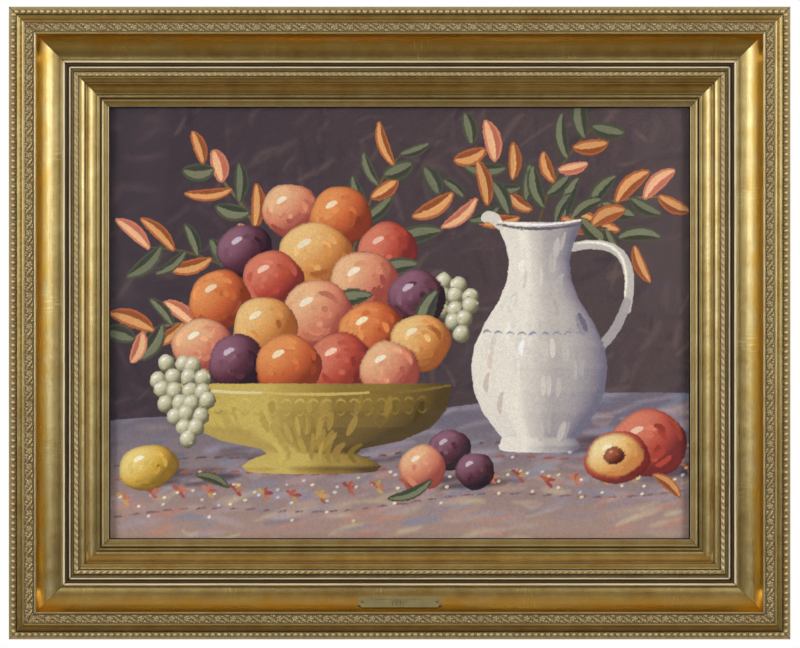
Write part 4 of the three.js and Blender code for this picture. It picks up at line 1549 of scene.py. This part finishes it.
    def paint_table_fruit(self) -> None:
        """Lay the fruit that has been set down on the cloth."""
        for fruit in (
            (1, (40, 74), (31, 23), LEMON, 0.25, 14), (2, (350, 92), (22, 21), PLUM, 0.0, 12),
            (1, (322, 74), (24, 23), PEACH, 0.0, 12), (2, (376, 70), (20, 19), PLUM, 0.0, 10),
            (1, (554, 98), (40, 35), CORAL, 0.1, 18), (2, (522, 84), (34, 27), CORAL, 0.15, 6),
            (2, (520, 86), (29, 22), FLESH, 0.15, 10), (2, (519, 86), (11, 9), STONE, 0.15, 3),
        ):
            self.canvas.ball(*fruit)
        for leaf in (
            (1, (330, 60), (288, 42), 12, LEAF), (2, (560, 66), (586, 44), 12, RUSSET),
            (1, (90, 66), (122, 54), 11, LEAF),
        ):
            self.canvas.leaf(*leaf)

    def paint(self) -> None:
        """Paint the picture from its far side to its near one."""
        self.paint_cloth()
        self.paint_shadows()
        self.paint_wall()
        self.paint_border()
        self.paint_branches()
        self.paint_jug()
        self.paint_grapes((352, 262), (2, 3, 3, 2, 1), GRAPE)
        self.paint_fruit()
        self.paint_dish()
        self.paint_grapes((72, 178), (3, 4, 4, 4, 3, 2, 1), GRAPE)
        self.paint_table_fruit()


@dataclass(frozen=True)
class PaintedPaper:
    """Transparent and body colour on cold-pressed cotton paper: matt, grainy, with dark-edged broken strokes."""

    ragged_mm: float = 3.2
    grain_mm: float = 1.0
    blot_mm: float = 4.5
    soft_mm: float = 0.42

    def build(self, layers: int) -> bpy.types.Material:
        """Make the painted paper.

        Args:
            layers: How many layers of paint lie over the ground.

        Returns:
            The material.
        """
        nodes = Nodes(bpy.data.materials.new("watercolour_on_rag_paper"))
        place = nodes.add("TexCoord")
        blot = nodes.add(
            "TexNoise", {"Vector": place, "Scale": 1 / (self.blot_mm * MM), "Detail": 4.0, "Roughness": 0.65}
        )
        grain = nodes.add("TexNoise", {"Vector": place, "Scale": 1 / (self.grain_mm * MM), "Detail": 2.0})
        colour = nodes.add("Attribute", take="Color", attribute_name="ground")
        for k in range(layers):
            paint = nodes.add("Attribute", take="Color", attribute_name=f"paint_{k}")
            edge = nodes.add(
                "Math", {0: blot, 1: self.ragged_mm, 2: paint.node.outputs["Alpha"]}, operation="MULTIPLY_ADD"
            )
            low, high = self.ragged_mm / 2 - self.soft_mm, self.ragged_mm / 2 + self.soft_mm
            share = nodes.add("MapRange", {"Value": edge, "From Min": low, "From Max": high, "To Max": 0.96})
            colour = nodes.add("Mix", {"Factor": share, "A": colour, "B": paint})
        settle = nodes.add("Math", {0: blot, 1: 0.5, 2: grain}, operation="MULTIPLY_ADD")
        density = nodes.add(
            "MapRange", {"Value": settle, "From Min": 0.5, "From Max": 1.0, "To Min": 1.13, "To Max": 0.84}
        )
        settled = nodes.add("VectorMath", {0: colour, "Scale": density}, operation="SCALE")
        bump = nodes.add("Bump", {"Height": grain, "Strength": 0.3, "Distance": 0.25 * MM})
        return nodes.close(
            "BsdfPrincipled",
            {"Base Color": settled, "Roughness": 0.82, "Specular IOR Level": 0.25, "Normal": bump},
        )


@dataclass
class PaintedSheet:
    """The sheet of paper behind the glass, thin and closed, with its painting."""

    opening: Opening
    columns: int = 360
    rows: int = 270

    def spread(self, grid: np.ndarray, low: float, high: float, sight: float) -> np.ndarray:
        """Place the grid's lines: one cell for each hidden margin, the rest even over what shows.

        Args:
            grid: The lines' places, from 0 to 1.
            low: The sheet's lower end.
            high: The sheet's upper end.
            sight: How far the opening reaches.

        Returns:
            The lines' places in millimetres.
        """
        return np.interp(grid, (0, grid[1], grid[-2], 1), (low, 0, sight, high))

    def build(self) -> bpy.types.Object:
        """Make the sheet and paint it.

        Returns:
            The sheet.
        """
        low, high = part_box("watercolour_sheet")
        left = self.opening.middle.x - self.opening.width / 2
        bottom = self.opening.middle.z - self.opening.height / 2
        bm = bmesh.new()
        add_closed_grid(bm, (self.columns, self.rows))
        bmesh.ops.recalc_face_normals(bm, faces=bm.faces)
        mesh = into_mesh(bm, "watercolour_painted")
        co = points_of(mesh)
        xs, column = np.unique(np.round(co[:, 0] + 0.5, 5), return_inverse=True)
        ys, row = np.unique(np.round(co[:, 1] + 0.5, 5), return_inverse=True)
        across = self.spread(xs, (low.x - left) / MM, (high.x - left) / MM, self.opening.width / MM)
        up = self.spread(ys, (low.z - bottom) / MM, (high.z - bottom) / MM, self.opening.height / MM)
        canvas = Canvas(across, up)
        StillLife(canvas).paint()
        depth_y = np.where(co[:, 2] > -0.5, low.y, high.y)
        placed = np.stack([left + across[column] * MM, depth_y, bottom + up[row] * MM], axis=1)
        mesh.vertices.foreach_set("co", placed.ravel())
        mesh.flip_normals()
        opaque = np.ones((*canvas.ground.shape[:2], 1))
        sheets = {"ground": np.concatenate([canvas.ground, opaque], axis=2)}
        for k in range(canvas.layers):
            sheets[f"paint_{k}"] = np.concatenate([canvas.colour[k], canvas.depth[k][..., None]], axis=2)
        for name, values in sheets.items():
            attribute = mesh.attributes.new(name, "FLOAT_COLOR", "POINT")
            attribute.data.foreach_set("color", values[row, column].astype(np.float32).ravel())
        mesh.materials.append(PaintedPaper().build(canvas.layers))
        return stand_in(mesh, "watercolour_sheet")


@dataclass
class NamePlate:
    """The small brass plate: hollowed corners, eased rim and rows of shallow filled strokes that aren't letters."""

    width: float = 84.7
    height: float = 14.3
    thickness: float = 1.0
    notch: float = 2.8
    rim: float = 0.25
    cut: float = 0.15
    cells: tuple[int, int] = (180, 30)
    rows: tuple[tuple[float, float, float], ...] = (
        (3.1, -24.0, 22.5), (1.0, -8.5, 8.0), (-1.1, -7.0, 6.5), (-3.2, -8.0, 7.5),
    )

    def is_cut(self, x: float, z: float) -> bool:
        """Tell whether a place lies in one of the rows of strokes.

        Args:
            x: Distance from the plate's middle along it.
            z: Distance from its middle up it.

        Returns:
            Whether it is cut away.
        """
        for number, (level, start, end) in enumerate(self.rows):
            tall = 0.25 if number == 0 else 0.5
            if abs(z - level) < tall and start < x < end:
                step = (x - start) % (2.4 + 0.5 * number)
                return step < 1.5 + 0.35 * math.sin(7.3 * math.floor((x - start) / 2.4))
        return False

    def build(self) -> bpy.types.Object:
        """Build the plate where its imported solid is.

        Returns:
            The plate.
        """
        bm = bmesh.new()
        bmesh.ops.create_grid(bm, x_segments=self.cells[0], y_segments=self.cells[1], size=0.5)
        flat = (self.width - 2 * self.rim, self.height - 2 * self.rim, 1)
        bmesh.ops.scale(bm, vec=flat, verts=bm.verts)
        corner = Vector((flat[0] / 2, flat[1] / 2, 0))
        reach = self.notch + self.rim
        cell = flat[1] / self.cells[1]
        gone = []
        for vertex in bm.verts:
            near = Vector((math.copysign(corner.x, vertex.co.x), math.copysign(corner.y, vertex.co.y), 0))
            away = vertex.co - near
            if away.length < reach - 0.75 * cell:
                gone.append(vertex)
            elif away.length < reach:
                vertex.co = near + away.normalized() * reach
        bmesh.ops.delete(bm, geom=gone, context="VERTS")
        cut = [face for face in bm.faces if self.is_cut(face.calc_center_median().x, face.calc_center_median().y)]
        rim = rims(bm)
        grown = bmesh.ops.extrude_face_region(bm, geom=cut)
        bmesh.ops.delete(bm, geom=cut, context="FACES_ONLY")
        bmesh.ops.translate(bm, vec=(0, 0, -self.cut), verts=only(BMVert, grown["geom"]))
        for face in only(BMFace, grown["geom"]):
            face.material_index = 1
        for outward, down in ((self.rim, self.rim), (0.0, self.thickness - self.rim)):
            grown = bmesh.ops.extrude_edge_only(bm, edges=rim)
            skirt = only(BMVert, grown["geom"])
            spread = (1 + 2 * outward / flat[0], 1 + 2 * outward / flat[1], 1)
            bmesh.ops.scale(bm, vec=spread, verts=skirt)
            bmesh.ops.translate(bm, vec=(0, 0, -down), verts=skirt)
            rim = only(BMEdge, grown["geom"])
        bmesh.ops.holes_fill(bm, edges=rims(bm))
        bmesh.ops.recalc_face_normals(bm, faces=bm.faces)
        low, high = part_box("name_plate")
        deep, tall = (high.y - low.y) / MM, (high.z - low.z) / MM
        lean = math.asin((self.height * deep - self.thickness * tall) / (self.height**2 - self.thickness**2))
        bmesh.ops.translate(bm, vec=(0, 0, self.thickness / 2), verts=bm.verts)
        matrix = (
            Matrix.Translation((low + high) / 2) @ Matrix.Rotation(-lean, 4, "X")
            @ Matrix.Rotation(math.pi / 2, 4, "X") @ Matrix.Scale(MM, 4)
        )
        bmesh.ops.transform(bm, matrix=matrix, verts=bm.verts)
        mesh = into_mesh(bm, "name_plate_cut")
        mesh.materials.append(Mottled("dull_sheet_brass", "aca67c", "8f8963", 14.0, 0.5, 0.4, 0.75, 0.15).build())
        mesh.materials.append(Mottled("black_wax_filling", "2b2516", "3a321f", 3.0, 0.5, 0.7).build())
        return stand_in(mesh, "name_plate")


def dress(nodes: dict[str, bpy.types.Object], material: bpy.types.Material, names: list[str]) -> None:
    """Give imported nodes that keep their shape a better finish.

    Args:
        nodes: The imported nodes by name.
        material: Their new material.
        names: The nodes to dress.
    """
    for name in names:
        slots = nodes[name].data.materials
        slots.clear()
        slots.append(material)
        LOG.info("dressed %s in %s", name, material.name)


def main() -> None:
    """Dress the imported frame, piece by piece."""
    logging.basicConfig(level=logging.INFO, format="%(name)s: %(message)s")
    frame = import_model()
    nodes = frame["nodes"]
    opening = Opening.from_frame()
    LOG.info("opening %.1f by %.1f mm", opening.width / MM, opening.height / MM)
    Studio().build(opening)
    gilt = [GildedFront().build(), PaintedSide().build(), RawWood().build()]
    pieces = [Rail(f"rail_{turn.name.lower()}", turn, opening).build(gilt) for turn in Turn]
    pieces += [PaintedSheet(opening).build(), NamePlate().build()]
    for piece in pieces:
        LOG.info("built %s with %d faces", piece.name, len(piece.data.polygons))
    spacers = [f"spacer_{side}" for side in ("top", "bottom", "left", "right")]
    points = [name for name in nodes if name.startswith("point_")]
    # Each finish: name, two colours, cloud and tooth in mm, roughness, metal and strength of the tooth
    for finish, names in (
        (PictureGlass(), ["glazing"]),
        # The black spacers show as a dark line round the picture, which also stands for painted shade under the sight
        # edge
        (Mottled("black_spacer_and_painted_shade", "14110f", "201b18", 20.0, 1.0, 0.6), spacers),
        (Mottled("grey_board", "a8916c", "927a55", 40.0, 1.2, 0.85), ["backing_board"]),
        (
            Mottled("zinc_plated_steel", "b4b6b8", "8d9093", 6.0, 0.6, 0.38, 1.0, 0.15),
            [*points, "hanger_screw_left", "hanger_screw_right"],
        ),
        (
            Mottled("sheet_brass", "b5a468", "94834a", 14.0, 0.5, 0.42, 1.0, 0.15),
            ["plate_pin_left", "plate_pin_right", "hanger"],
        ),
        (Mottled("bumper_rubber", "35312d", "45403a", 4.0, 0.8, 0.8), ["bumper_left", "bumper_right"]),
    ):
        dress(nodes, finish.build(), names)


if __name__ == "__main__":
    main()
